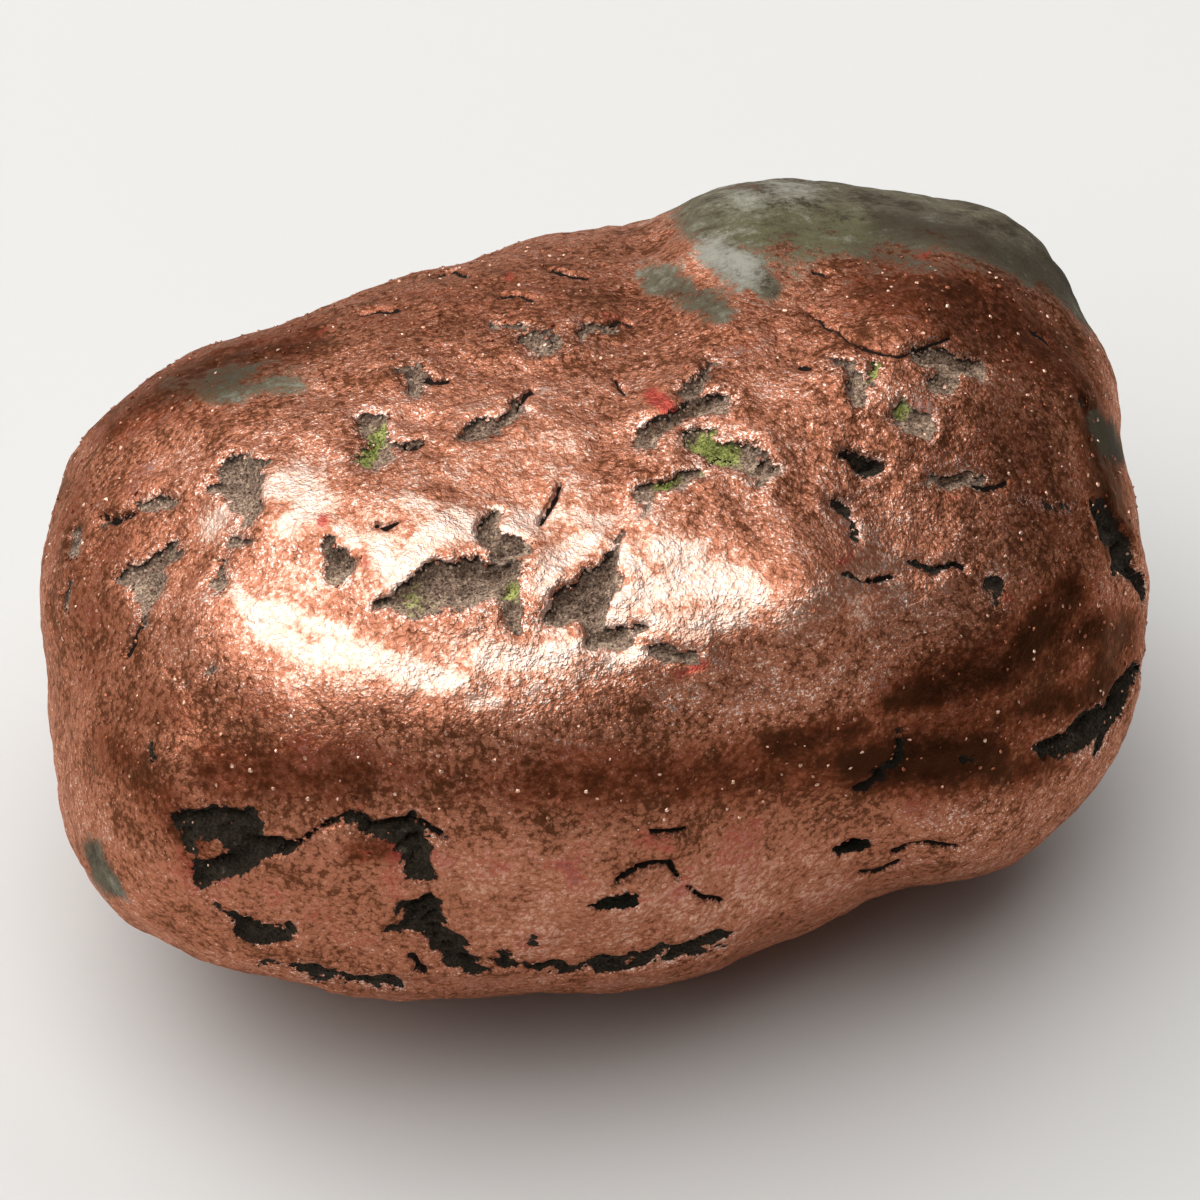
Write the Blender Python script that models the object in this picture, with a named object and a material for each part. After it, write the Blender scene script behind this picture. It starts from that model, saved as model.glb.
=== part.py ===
"""A native copper nugget: one solid lump, waterworn round, with rock locked in its hollows.

Metres, +Z up. The long side runs along X, and the lump rests on a small worn foot at z = 0.
The form is drawn on the nugget's broad face: u runs to the right across it, v up it and w out
of it. Sizes in the tables are millimetres in that face's frame, with its middle at zero.
"""

import math

import bmesh
import bpy
import numpy as np
from mathutils import noise

MM = 0.001
NAME = "nugget"

# The broad face's normal leans up from the horizontal and is turned from -Y towards -X.
FACE_LEAN = math.radians(38)
FACE_TURN = math.radians(22)
# Half the length, depth and height of the lump, before its outline is fitted and it is worn.
HALF_SIZES = (22.0, 16.5, 12.0)
SQUARENESS = 2.5
# The flat of the foot lies this far above what would be the lowest point.
FOOT_WEAR = 0.5

ICO_SUBDIVISIONS = 7
TRIANGLES = 9300
RAGGED_SIZE = 1.1
RAGGED_REACH = 0.45
ROUGH_SIZE = 3.2
ROUGH_HEIGHT = 0.16

# The outline of the broad face, anticlockwise from its right end.
OUTLINE = (
    (19.5, 0.0), (19.2, 2.4), (18.6, 5.2), (18.4, 7.9), (17.5, 10.2), (15.9, 13.0),
    (14.5, 14.1), (12.6, 14.4), (10.8, 14.7), (9.0, 15.0), (6.8, 15.3), (5.0, 15.1),
    (3.6, 14.7), (2.3, 14.0), (-0.4, 13.2), (-2.9, 12.8), (-5.4, 12.0), (-9.0, 10.8),
    (-12.6, 9.4), (-16.2, 7.9), (-17.8, 6.6), (-19.2, 4.6), (-19.9, 2.4), (-20.2, 0.0),
    (-20.0, -2.9), (-19.7, -5.9), (-19.2, -8.0), (-18.3, -10.1), (-17.0, -11.5),
    (-14.8, -12.7), (-11.0, -13.7), (-7.2, -14.3), (-3.0, -14.2), (1.8, -13.9),
    (3.6, -13.5), (5.8, -12.5), (8.3, -11.5), (10.5, -10.7), (12.6, -10.4),
    (14.4, -9.9), (16.2, -8.5), (17.5, -7.2), (18.6, -5.4), (19.4, -2.5),
)

# Broad swells and dips of the skin: side, height, and the line (u, v, reach) that each follows.
SWELLS = (
    ("front", 0.9, ((2.9, 0.0, 3.6),)),
    ("front", 0.5, ((-6.1, 0.4, 3.0),)),
    ("front", 0.4, ((-11.2, 3.2, 2.2),)),
    ("front", 0.3, ((-2.7, 0.9, 1.4),)),
    ("front", 0.5, ((-13.3, -1.4, 2.2), (-9.7, -3.6, 2.2), (0.0, -4.3, 2.2), (7.9, -1.4, 2.2))),
    ("front", 0.9, ((10.8, 9.6, 3.4),)),
    ("front", -0.9, ((1.4, 13.0, 2.0), (1.6, 9.8, 2.2))),
    ("front", -0.4, ((8.7, 3.8, 1.4), (8.9, -0.8, 1.4))),
    ("front", 0.4, ((14.4, 4.0, 2.6),)),
    ("front", -0.6, ((9.0, -7.2, 1.4), (11.0, -3.6, 1.6))),
    ("front", 0.4, ((13.6, -7.6, 2.2),)),
    ("front", 0.5, ((-1.0, -9.2, 3.4),)),
    ("front", 0.4, ((-14.6, -6.4, 2.8),)),
    ("front", 0.4, ((-7.2, 8.2, 2.6),)),
    ("front", -0.4, ((-15.6, 4.6, 1.6), (-14.2, 0.8, 1.4))),
    ("back", 0.7, ((-9.0, 4.0, 3.6),)),
    ("back", 0.7, ((8.5, 1.0, 3.6),)),
    ("back", -0.8, ((-1.5, 12.0, 2.0), (-0.5, 5.0, 2.4), (-2.0, 0.0, 1.6))),
    ("back", 0.5, ((12.0, 8.0, 2.6),)),
    ("back", -0.5, ((4.0, 7.0, 1.8), (12.0, 4.0, 1.8))),
    ("back", 0.7, ((0.5, -8.0, 5.0),)),
    ("back", -0.5, ((-11.0, -4.0, 2.0), (-13.0, 1.0, 2.0))),
)

# Hollows that hold rock, with ragged rims: side, depth, and the strokes that cover each.
HOLLOWS = {
    "cap": ("front", 0.28, (
        ((4.2, 13.6, 1.4), (6.6, 13.8, 2.6), (9.6, 13.8, 2.4), (12.4, 13.5, 2.2),
         (15.0, 12.2, 2.0), (17.2, 10.4, 1.2)),
        ((4.4, 12.1, 0.6), (5.6, 11.3, 0.4)),
    )),
    "upper_left": ("front", 0.25, (((-15.4, 7.3, 0.5), (-13.9, 7.5, 0.8), (-11.4, 7.1, 0.6)),)),
    "hand": ("front", 0.45, (
        ((-13.4, 4.7, 0.6), (-13.1, 3.9, 0.9), (-13.0, 2.9, 0.4)),
        ((-14.5, 3.9, 0.2), (-12.2, 4.5, 0.4)),
    )),
    "fork": ("front", 0.45, (
        ((-15.2, 1.4, 0.3), (-16.6, 0.3, 0.7), (-17.4, 0.5, 0.3)),
        ((-16.6, 0.0, 0.5), (-16.6, -1.0, 0.3)),
    )),
    "hook": ("front", 0.4, (((-13.0, 1.6, 0.3), (-13.7, 1.4, 0.3), (-14.1, 0.1, 0.3)),)),
    "bean": ("front", 0.5, (((-10.2, 1.9, 0.3), (-9.9, 1.0, 0.7), (-9.2, 0.6, 0.4)),)),
    "boot": ("front", 0.4, (
        ((-8.7, 6.1, 0.4), (-8.3, 4.9, 0.7)),
        ((-8.7, 4.8, 0.4), (-6.9, 5.2, 0.2)),
    )),
    "upper_slot": ("front", 0.4, (((-4.9, 5.9, 0.4), (-3.6, 6.0, 0.3), (-3.1, 6.6, 0.4)),)),
    "upper_crack": ("front", 0.4, (((-4.3, 9.3, 0.2), (-2.9, 9.2, 0.3), (-1.8, 9.0, 0.2)),)),
    "wing": ("front", 0.6, (
        ((4.0, 8.1, 0.3), (2.9, 7.2, 0.4)),
        ((4.1, 6.8, 0.5), (2.8, 6.4, 0.5), (1.2, 5.4, 0.4)),
    )),
    "green_bed": ("front", 0.4, (
        ((3.2, 5.0, 0.5), (4.0, 5.1, 0.8), (5.1, 4.8, 0.6), (6.0, 4.2, 0.3)),
        ((1.4, 2.9, 0.2), (2.0, 3.6, 0.4), (3.3, 4.3, 0.3)),
    )),
    "island": ("front", 0.5, (
        ((-4.1, 2.5, 0.3), (-3.6, 1.1, 0.5), (-5.8, 0.3, 0.6), (-8.0, -0.7, 0.3)),
        ((-3.5, 0.7, 0.5), (-3.5, -0.3, 0.5), (-3.2, -1.5, 0.2)),
    )),
    "shoe": ("front", 0.5, (
        ((0.2, 1.8, 0.2), (0.0, 0.4, 0.7), (-1.4, -0.4, 0.8), (-2.0, -1.1, 0.4)),
        ((-1.4, -0.4, 0.7), (-0.4, -1.2, 0.5), (1.2, -1.6, 0.3)),
    )),
    "heel": ("front", 0.35, (((2.3, -2.5, 0.4), (2.9, -2.4, 0.3)),)),
    "eye": ("front", 0.45, (((8.5, 8.1, 0.3), (9.0, 7.4, 0.4)),)),
    "brow": ("front", 0.4, (
        ((11.5, 8.4, 0.4), (12.4, 8.1, 0.4), (13.4, 7.9, 0.3)),
        ((12.4, 8.0, 0.3), (12.1, 7.3, 0.3)),
    )),
    "cheek": ("front", 0.45, (((10.6, 6.5, 0.3), (10.8, 6.1, 0.5), (11.2, 5.8, 0.3)),)),
    "deep_hole": ("front", 0.7, (((8.6, 4.8, 0.2), (9.1, 4.5, 0.4), (9.7, 4.4, 0.2)),)),
    "slot": ("front", 0.5, (((11.9, 3.7, 0.3), (12.6, 3.7, 0.4), (13.3, 3.8, 0.3)),)),
    "crescent": ("front", 0.5, (((8.1, 3.1, 0.2), (8.5, 2.9, 0.3), (8.9, 1.7, 0.2)),)),
    "nick": ("front", 0.4, (((8.6, 0.4, 0.2), (9.2, 0.2, 0.3)),)),
    "tear": ("front", 0.35, (((13.8, 0.4, 0.3), (14.2, -0.3, 0.2)),)),
    "right_bay": ("front", 0.5, (((17.8, 2.7, 0.6), (18.4, 1.9, 0.8), (19.1, 0.4, 0.6)),)),
    "lower_bay": ("front", 0.45, (
        ((16.1, -5.6, 0.4), (17.3, -5.1, 0.7), (18.3, -4.2, 0.7), (19.4, -2.9, 0.4)),
    )),
    "big_crack": ("front", 0.5, (
        ((10.5, -5.2, 0.2), (10.7, -5.6, 0.2), (10.4, -6.2, 0.2), (9.0, -7.0, 0.2)),
    )),
    "low_pit": ("front", 0.6, (((8.4, -9.4, 0.4), (9.1, -9.3, 0.4)),)),
    "ring": ("front", 0.4, (
        ((-15.1, -8.4, 0.4), (-13.0, -8.4, 0.4)),
        ((-13.5, -8.7, 0.4), (-12.3, -9.4, 0.5), (-14.4, -10.3, 0.4)),
    )),
    "bar": ("front", 0.5, (
        ((-9.9, -8.4, 0.2), (-7.6, -8.5, 0.4)),
        ((-7.7, -8.6, 0.4), (-7.2, -9.4, 0.5), (-6.8, -10.1, 0.3)),
    )),
    "low_left": ("front", 0.4, (((-13.8, -11.4, 0.2), (-12.6, -12.2, 0.5), (-11.5, -12.4, 0.3)),)),
    "low_bolt": ("front", 0.45, (
        ((-7.7, -12.0, 0.3), (-6.8, -11.7, 0.5), (-6.3, -12.4, 0.5), (-4.2, -13.4, 0.2)),
    )),
    "hem": ("front", 0.3, (((-3.7, -13.3, 0.3), (-1.4, -13.4, 0.5), (1.4, -13.2, 0.3)),)),
    "hem_left": ("front", 0.3, (((-11.8, -13.5, 0.3), (-9.5, -13.9, 0.3), (-7.4, -14.1, 0.3)),)),
    "left_shore": ("front", 0.3, (((-18.5, -9.2, 0.3), (-18.1, -10.1, 0.4), (-17.5, -10.7, 0.3)),)),
    "back_lake": ("back", 0.5, (
        ((-9.6, 7.4, 0.8), (-7.2, 7.2, 1.1), (-5.0, 8.0, 0.7)),
        ((-7.0, 7.0, 0.7), (-6.4, 5.0, 0.5)),
    )),
    "back_cap": ("back", 0.3, (((5.0, 13.2, 1.4), (9.0, 13.0, 2.0), (13.0, 12.4, 1.6)),)),
    "back_fork": ("back", 0.5, (
        ((3.6, 9.4, 0.5), (5.4, 8.4, 0.8), (7.6, 8.8, 0.4)),
        ((5.4, 8.4, 0.5), (5.8, 6.6, 0.4)),
    )),
    "back_step": ("back", 0.5, (((4.6, 3.6, 0.4), (6.4, 3.2, 0.7), (7.0, 1.8, 0.4)),)),
    "back_bar": ("back", 0.5, (((-1.8, 2.2, 0.4), (0.6, 1.6, 0.6), (2.4, 2.2, 0.3)),)),
    "back_hand": ("back", 0.45, (((-13.8, 2.2, 0.5), (-12.2, 1.4, 0.8), (-10.6, 1.8, 0.3)),)),
    "back_slot": ("back", 0.5, (((13.2, -1.6, 0.4), (14.4, -2.4, 0.5)),)),
    "back_pit": ("back", 0.6, (((9.0, -4.6, 0.5), (10.0, -5.2, 0.4)),)),
    "back_eye": ("back", 0.45, (((-2.6, 9.6, 0.4), (-1.2, 10.2, 0.5)),)),
    "back_tear": ("back", 0.45, (((10.6, 9.6, 0.4), (11.8, 8.6, 0.6), (12.0, 7.2, 0.3)),)),
    "back_nick": ("back", 0.45, (((-8.6, -5.4, 0.4), (-7.0, -6.0, 0.6), (-5.6, -5.8, 0.3)),)),
    "back_drop": ("back", 0.45, (((-14.8, -5.6, 0.5), (-13.6, -6.8, 0.5)),)),
    "back_shore": ("back", 0.4, (((15.4, 5.6, 0.6), (16.4, 3.8, 0.7), (16.6, 2.2, 0.4)),)),
}

# A small knob of rock that stands out at the right end: u, v, how far back, its radius.
KNOB = (19.7, 1.7, -3.2, 0.34)

SECTORS = 360
# Points are rounded to this many digits of a millimetre, so that every run gives one mesh.
DIGITS = 6
# Depth counts for less than width in a stroke's reach, so a stroke near the rim wraps round it.
DEPTH_SHARE = 0.5
WALL = 0.30
LIP_HEIGHT = 0.07
LIP_WIDTH = 0.45
RIM_FADE = 0.35
NOISE_SHIFT = (11.3, 4.7, 29.1)
COPPER = (0.36, 0.125, 0.065, 1.0)


def clear_scene():
    """Leave an empty scene, whatever was open."""
    for obj in list(bpy.data.objects):
        bpy.data.objects.remove(obj, do_unlink=True)


def face_axes():
    """The broad face's right, up and outward directions, as the rows of a matrix."""
    lean_sin, lean_cos = math.sin(FACE_LEAN), math.cos(FACE_LEAN)
    turn_sin, turn_cos = math.sin(FACE_TURN), math.cos(FACE_TURN)
    right = (turn_cos, -turn_sin, 0.0)
    up = (turn_sin * lean_sin, turn_cos * lean_sin, lean_cos)
    out = (-turn_sin * lean_cos, -turn_cos * lean_cos, lean_sin)
    return np.array((right, up, out))


def smooth_step(low, high, value):
    """0 below low, 1 above high, and a smooth rise between them."""
    share = np.clip((value - low) / (high - low), 0.0, 1.0)
    return share * share * (3.0 - 2.0 * share)


def outline_radius(angle):
    """How far the outline is from the middle at each angle: a smooth closed curve through OUTLINE."""
    corners = np.array(OUTLINE)
    known = np.unwrap(np.arctan2(corners[:, 1], corners[:, 0]))
    reach = np.hypot(corners[:, 0], corners[:, 1])
    turn = 2.0 * math.pi
    known = np.concatenate((known - turn, known, known + turn))
    reach = np.tile(reach, 3)
    slope = np.gradient(reach, known)
    before = np.searchsorted(known, angle, side="right") - 1
    gap = known[before + 1] - known[before]
    t = (angle - known[before]) / gap
    rise = reach[before + 1] - reach[before]
    return (reach[before] + slope[before] * gap * (t - 2 * t ** 2 + t ** 3)
            + rise * (3 * t ** 2 - 2 * t ** 3) + slope[before + 1] * gap * (t ** 3 - t ** 2))


def plain_lump(direction):
    """Face-frame points, in millimetres, of a squarish pebble drawn out to the outline."""
    power = SQUARENESS
    shares = np.abs(direction / np.array(HALF_SIZES)) ** power
    pebble = direction * (shares.sum(axis=1) ** (-1.0 / power))[:, None] @ face_axes().T
    reach = np.hypot(pebble[:, 0], pebble[:, 1])
    angle = np.arctan2(pebble[:, 1], pebble[:, 0])
    pebble[:, :2] *= (outline_radius(angle) / widest_reach(angle, reach))[:, None]
    return pebble


def widest_reach(angle, reach):
    """The reach of the pebble's own outline at each angle, from the farthest points around."""
    sector = np.floor((angle / math.pi + 1.0) * SECTORS / 2).astype(int) % SECTORS
    widest = np.zeros(SECTORS)
    np.maximum.at(widest, sector, reach)
    middles = (np.arange(-1, SECTORS + 1) + 0.5) * 2.0 * math.pi / SECTORS - math.pi
    return np.interp(angle, middles, np.concatenate((widest[-1:], widest, widest[:1])))


def skin_depth(points, normals, u, v, side):
    """How far out the skin of one side is over a point of the broad face."""
    gap = np.hypot(points[:, 0] - u, points[:, 1] - v)
    gap[(normals[:, 2] > 0) != (side == "front")] = np.inf
    return points[np.argmin(gap), 2]


def swell(points, normals):
    """Raise and sink the skin along the face's normal, so that its outline stays."""
    weight = {
        "front": smooth_step(0.0, RIM_FADE, normals[:, 2]),
        "back": smooth_step(0.0, RIM_FADE, -normals[:, 2]),
    }
    for side, height, line in SWELLS:
        nearest = np.full(len(points), np.inf)
        for start, end in zip(line, line[1:] or line):
            nearest = np.minimum(nearest, distance_in_reaches(points[:, :2], start, end))
        outward = 1.0 if side == "front" else -1.0
        points[:, 2] += outward * height * weight[side] * np.exp(-nearest ** 2)


def distance_in_reaches(points, start, end):
    """Distance from points to a stroke whose last number is its reach, measured in reaches."""
    first, last = np.array(start[:-1]), np.array(end[:-1])
    run = last - first
    along = np.clip((points - first) @ run / max(run @ run, 1e-9), 0.0, 1.0)
    gap = np.linalg.norm(points - first - along[:, None] * run, axis=1)
    return gap / (start[-1] + (end[-1] - start[-1]) * along)


def stroke_gap(points, placed):
    """Millimetres from each point to a stroke's edge, below zero inside it."""
    nearest = np.full(len(points), np.inf)
    for start, end in zip(placed, placed[1:] or placed):
        first, last = np.array(start[:3]), np.array(end[:3])
        run = last - first
        along = np.clip((points - first) @ run / max(run @ run, 1e-9), 0.0, 1.0)
        gap = np.linalg.norm(points - first - along[:, None] * run, axis=1)
        nearest = np.minimum(nearest, gap - start[3] - (end[3] - start[3]) * along)
    return nearest


def noise_at(points, size, octaves, start=0.0):
    """Smooth noise at each point, with lumps about size millimetres across."""
    shifted = np.round(points / size + np.array(NOISE_SHIFT) + start, DIGITS)
    return np.array([noise.fractal(tuple(place), 0.9, 2.1, octaves) for place in shifted])


def rough(points, normals):
    """Uneven the skin a little along its normals."""
    points += normals * (ROUGH_HEIGHT * noise_at(points, ROUGH_SIZE, 4))[:, None]


def hollow_out(points, normals):
    """Sink each hollow into the skin, behind a slightly raised ragged rim."""
    shift = [noise_at(points, RAGGED_SIZE, 3, start) for start in (50.0, 100.0, 150.0)]
    ragged = points + RAGGED_REACH * np.column_stack(shift)
    ragged[:, 2] *= DEPTH_SHARE
    depth = np.zeros(len(points))
    gap = np.full(len(points), np.inf)
    for side, deep, strokes in HOLLOWS.values():
        for line in strokes:
            placed = [(u, v, DEPTH_SHARE * skin_depth(points, normals, u, v, side), reach)
                      for u, v, reach in line]
            edge = stroke_gap(ragged, placed)
            depth = np.maximum(depth, deep * smooth_step(0.0, WALL, -edge))
            gap = np.minimum(gap, edge)
    lip = LIP_HEIGHT * np.exp(-((gap - LIP_WIDTH) / LIP_WIDTH) ** 2)
    height = points @ face_axes()[:, 2]
    off_foot = smooth_step(FOOT_WEAR, 3.0 * FOOT_WEAR, height - height.min())
    points += normals * (off_foot * (lip - depth))[:, None]


def raise_knob(points, normals):
    """Push the small knob out of the right end."""
    u, v, back, reach = KNOB
    gap = np.linalg.norm(points - np.array((u, v, back)), axis=1)
    points += normals * (reach * smooth_step(-2.2 * reach, -0.6 * reach, -gap))[:, None]


def skin_normals(points, corners):
    """Unit normals at the points, from the triangles around each."""
    sides = points[corners]
    facing = np.cross(sides[:, 1] - sides[:, 0], sides[:, 2] - sides[:, 0])
    total = np.column_stack([
        np.bincount(corners.ravel(), np.repeat(facing[:, axis], 3), len(points))
        for axis in range(3)])
    return total / np.linalg.norm(total, axis=1)[:, None]


def model_skin():
    """The whole lump as a fine mesh: a sphere drawn out to the lump's form, then worn."""
    ball = bmesh.new()
    bmesh.ops.create_icosphere(ball, subdivisions=ICO_SUBDIVISIONS, radius=1.0)
    mesh = bpy.data.meshes.new(NAME)
    ball.to_mesh(mesh)
    ball.free()
    direction = np.empty(len(mesh.vertices) * 3)
    mesh.vertices.foreach_get("co", direction)
    corners = np.empty(len(mesh.polygons) * 3, dtype=np.int32)
    mesh.polygons.foreach_get("vertices", corners)
    corners = corners.reshape(-1, 3)
    points = plain_lump(direction.reshape(-1, 3))
    swell(points, skin_normals(points, corners))
    rough(points, skin_normals(points, corners))
    normals = skin_normals(points, corners)
    hollow_out(points, normals)
    raise_knob(points, normals)
    mesh.vertices.foreach_set("co", (np.round(points @ face_axes(), DIGITS) * MM).ravel())
    mesh.update()
    return mesh


def coarsened(mesh):
    """The same skin with only the triangles that its form needs."""
    fine = bpy.data.objects.new(NAME + "_fine", mesh)
    bpy.context.scene.collection.objects.link(fine)
    fewer = fine.modifiers.new("Fewer", "DECIMATE")
    fewer.ratio = TRIANGLES / len(mesh.polygons)
    graph = bpy.context.evaluated_depsgraph_get()
    result = bpy.data.meshes.new_from_object(fine.evaluated_get(graph))
    bpy.data.objects.remove(fine, do_unlink=True)
    bpy.data.meshes.remove(mesh)
    result.name = NAME
    return result


def stand_on_foot(mesh):
    """Wear the lowest part off flat, and put the origin under the middle of the lump."""
    lump = bmesh.new()
    lump.from_mesh(mesh)
    foot = min(vertex.co.z for vertex in lump.verts) + FOOT_WEAR * MM
    whole = lump.verts[:] + lump.edges[:] + lump.faces[:]
    cut = bmesh.ops.bisect_plane(
        lump, geom=whole, plane_co=(0, 0, foot), plane_no=(0, 0, 1), clear_inner=True)
    rim = [item for item in cut["geom_cut"] if isinstance(item, bmesh.types.BMEdge)]
    bmesh.ops.contextual_create(lump, geom=rim)
    for axis in range(2):
        values = [vertex.co[axis] for vertex in lump.verts]
        middle = (min(values) + max(values)) / 2
        for vertex in lump.verts:
            vertex.co[axis] -= middle
    for vertex in lump.verts:
        vertex.co.z = max(vertex.co.z - foot, 0.0)
    bmesh.ops.recalc_face_normals(lump, faces=lump.faces)
    lump.to_mesh(mesh)
    lump.free()


def copper_material():
    """Bare native copper, brown-red where it has tarnished."""
    material = bpy.data.materials.new("native_copper")
    material.use_nodes = True
    shader = material.node_tree.nodes["Principled BSDF"]
    shader.inputs["Base Color"].default_value = COPPER
    shader.inputs["Metallic"].default_value = 1.0
    shader.inputs["Roughness"].default_value = 0.42
    material.diffuse_color = COPPER
    return material


def main():
    """Build the nugget in a collection of its own."""
    clear_scene()
    collection = bpy.data.collections.new("native_copper_nugget")
    bpy.context.scene.collection.children.link(collection)
    mesh = coarsened(model_skin())
    stand_on_foot(mesh)
    mesh.materials.append(copper_material())
    mesh.shade_smooth()
    collection.objects.link(bpy.data.objects.new(NAME, mesh))


main()
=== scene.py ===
"""A native copper nugget, dressed: a waterworn lump of metal with host rock in its hollows.

The skin is drawn out from a cube to the lump's form, hollowed and cracked in mesh code, and
peened by Geometry Nodes, which also scatter the rock grains, crumbs and beads.
Tables are in millimetres on the lump's broad face: u to its right, v up it, w out of it.
A stroke is a line of corners (u, v, reach) that covers all within its reach.
"""

from __future__ import annotations

import logging
import math
from dataclasses import dataclass, field, fields
from enum import Enum
from functools import cached_property
from typing import Any, Iterable

import bpy
import numpy as np
from mathutils import Matrix, Vector, noise

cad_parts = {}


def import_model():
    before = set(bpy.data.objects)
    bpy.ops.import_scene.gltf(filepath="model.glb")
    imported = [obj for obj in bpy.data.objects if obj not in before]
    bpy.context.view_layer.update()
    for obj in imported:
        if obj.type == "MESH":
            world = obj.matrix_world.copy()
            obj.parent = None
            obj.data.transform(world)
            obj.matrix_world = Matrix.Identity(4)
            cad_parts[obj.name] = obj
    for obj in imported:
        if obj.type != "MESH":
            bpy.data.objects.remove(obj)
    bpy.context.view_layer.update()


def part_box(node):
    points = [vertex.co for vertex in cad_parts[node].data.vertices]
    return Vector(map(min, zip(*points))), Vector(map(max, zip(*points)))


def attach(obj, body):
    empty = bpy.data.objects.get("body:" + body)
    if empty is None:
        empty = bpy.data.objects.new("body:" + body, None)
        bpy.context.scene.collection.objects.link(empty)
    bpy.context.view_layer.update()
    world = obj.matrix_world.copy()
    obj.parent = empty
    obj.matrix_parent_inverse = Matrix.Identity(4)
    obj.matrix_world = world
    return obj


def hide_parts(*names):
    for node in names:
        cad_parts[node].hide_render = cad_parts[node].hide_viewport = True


LOG = logging.getLogger("nugget")
MM = 0.001
BODY = "root"
NODE = "nugget"

Array = np.ndarray
Point = tuple[float, float, float]
Stroke = tuple[Point, ...]

# Where in the noise each pattern is read, so that no two are alike.
NOISE_PLACE = (11.3, 4.7, 29.1)
JAG_STARTS = (7.0, 19.0)
RAGGED_STARTS = (50.0, 100.0, 150.0)
FLOOR_START = 200.0
LIP_START = 250.0
CLOUD_START = 300.0


class Side(Enum):
    """The half of the lump that a feature is on: towards the broad face, or away from it."""

    FRONT = 1.0
    BACK = -1.0


class Filling(Enum):
    """What lies in a hollow, as the painted shade that darkens the rock that shows."""

    ROCK = 0.0
    SHADED = 0.92
    EMPTY = 1.0


class Tint(Enum):
    """A painted stain, named by the skin attribute that carries it; one also carries painted
    highlight and one painted shade.
    """

    EPIDOTE = "epidote"
    CUPRITE = "cuprite"
    TARNISH_AND_SHADE = "tarnish"
    BRIGHT = "bright"
    CRUST = "crust"


@dataclass(frozen=True)
class Hollow:
    """One ragged hollow in the skin.

    Args:
        depth: how deep its floor lies, in millimetres.
        strokes: the strokes that cover it.
        filling: what lies in it.
        ragged: how far its rim wanders, in millimetres.
    """

    depth: float
    strokes: tuple[Stroke, ...]
    filling: Filling = Filling.ROCK
    ragged: float = 0.45


@dataclass(frozen=True)
class Crack:
    """A thin dark split in the skin.

    Args:
        line: the places (u, v) that it passes.
        reach: its half-width, in millimetres.
        depth: how deep it is, in millimetres.
    """

    line: tuple[tuple[float, float], ...]
    reach: float = 0.09
    depth: float = 0.28


# The lump's outline as the broad face is seen, from its right end anticlockwise.
OUTLINE = (
    (19.5, 0.0), (19.2, 2.4), (18.6, 5.2), (18.4, 7.9), (17.5, 10.2), (15.9, 13.0),
    (14.5, 14.1), (12.6, 14.4), (10.8, 14.7), (9.0, 15.0), (6.8, 15.3), (5.0, 15.1),
    (3.6, 14.7), (2.3, 14.0), (-0.4, 13.2), (-2.9, 12.8), (-5.4, 12.0), (-9.0, 10.8),
    (-12.6, 9.4), (-16.2, 7.9), (-17.8, 6.6), (-19.2, 4.6), (-19.9, 2.4), (-20.2, 0.0),
    (-20.0, -2.9), (-19.7, -5.9), (-19.2, -8.0), (-18.3, -10.1), (-17.0, -11.5),
    (-14.8, -12.7), (-11.0, -13.7), (-7.2, -14.3), (-3.0, -14.2), (1.8, -13.9),
    (3.6, -13.5), (5.8, -12.5), (8.3, -11.5), (10.5, -10.7), (12.6, -10.4),
    (14.4, -9.9), (16.2, -8.5), (17.5, -7.2), (18.6, -5.4), (19.4, -2.5),
)

# Broad rises and dips of the skin, each a height in millimetres and a stroke.
FRONT_SWELLS = (
    (0.9, ((2.9, 0.0, 3.2), (5.4, 0.2, 3.0))),
    (1.0, ((7.0, 0.2, 2.0),)),
    (0.5, ((-6.1, 0.4, 3.0),)),
    (0.4, ((-11.2, 3.2, 2.2),)),
    (0.3, ((-2.7, 0.9, 1.4),)),
    (0.5, ((-13.3, -1.4, 2.2), (-9.7, -3.6, 2.2), (0.0, -4.3, 2.2), (7.9, -1.4, 2.2))),
    (0.9, ((10.8, 9.6, 3.4),)),
    (-0.9, ((1.4, 13.0, 2.0), (1.6, 9.8, 2.2))),
    (-0.2, ((9.2, 3.8, 1.4), (9.4, -0.8, 1.4))),
    (0.4, ((14.4, 4.0, 2.6),)),
    (-0.6, ((9.0, -7.2, 1.4), (11.0, -3.6, 1.6))),
    (0.4, ((13.6, -7.6, 2.2),)),
    (0.5, ((-1.0, -9.2, 3.4),)),
    (0.4, ((-14.6, -6.4, 2.8),)),
    (0.4, ((-7.2, 8.2, 2.6),)),
    (-0.4, ((-15.6, 4.6, 1.6), (-14.2, 0.8, 1.4))),
)

BACK_SWELLS = (
    (0.7, ((-9.0, 4.0, 3.6),)),
    (0.7, ((8.5, 1.0, 3.6),)),
    (-0.8, ((-1.5, 12.0, 2.0), (-0.5, 5.0, 2.4), (-2.0, 0.0, 1.6))),
    (0.5, ((12.0, 8.0, 2.6),)),
    (-0.5, ((4.0, 7.0, 1.8), (12.0, 4.0, 1.8))),
    (0.7, ((0.5, -8.0, 5.0),)),
    (-0.5, ((-11.0, -4.0, 2.0), (-13.0, 1.0, 2.0))),
)

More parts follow.
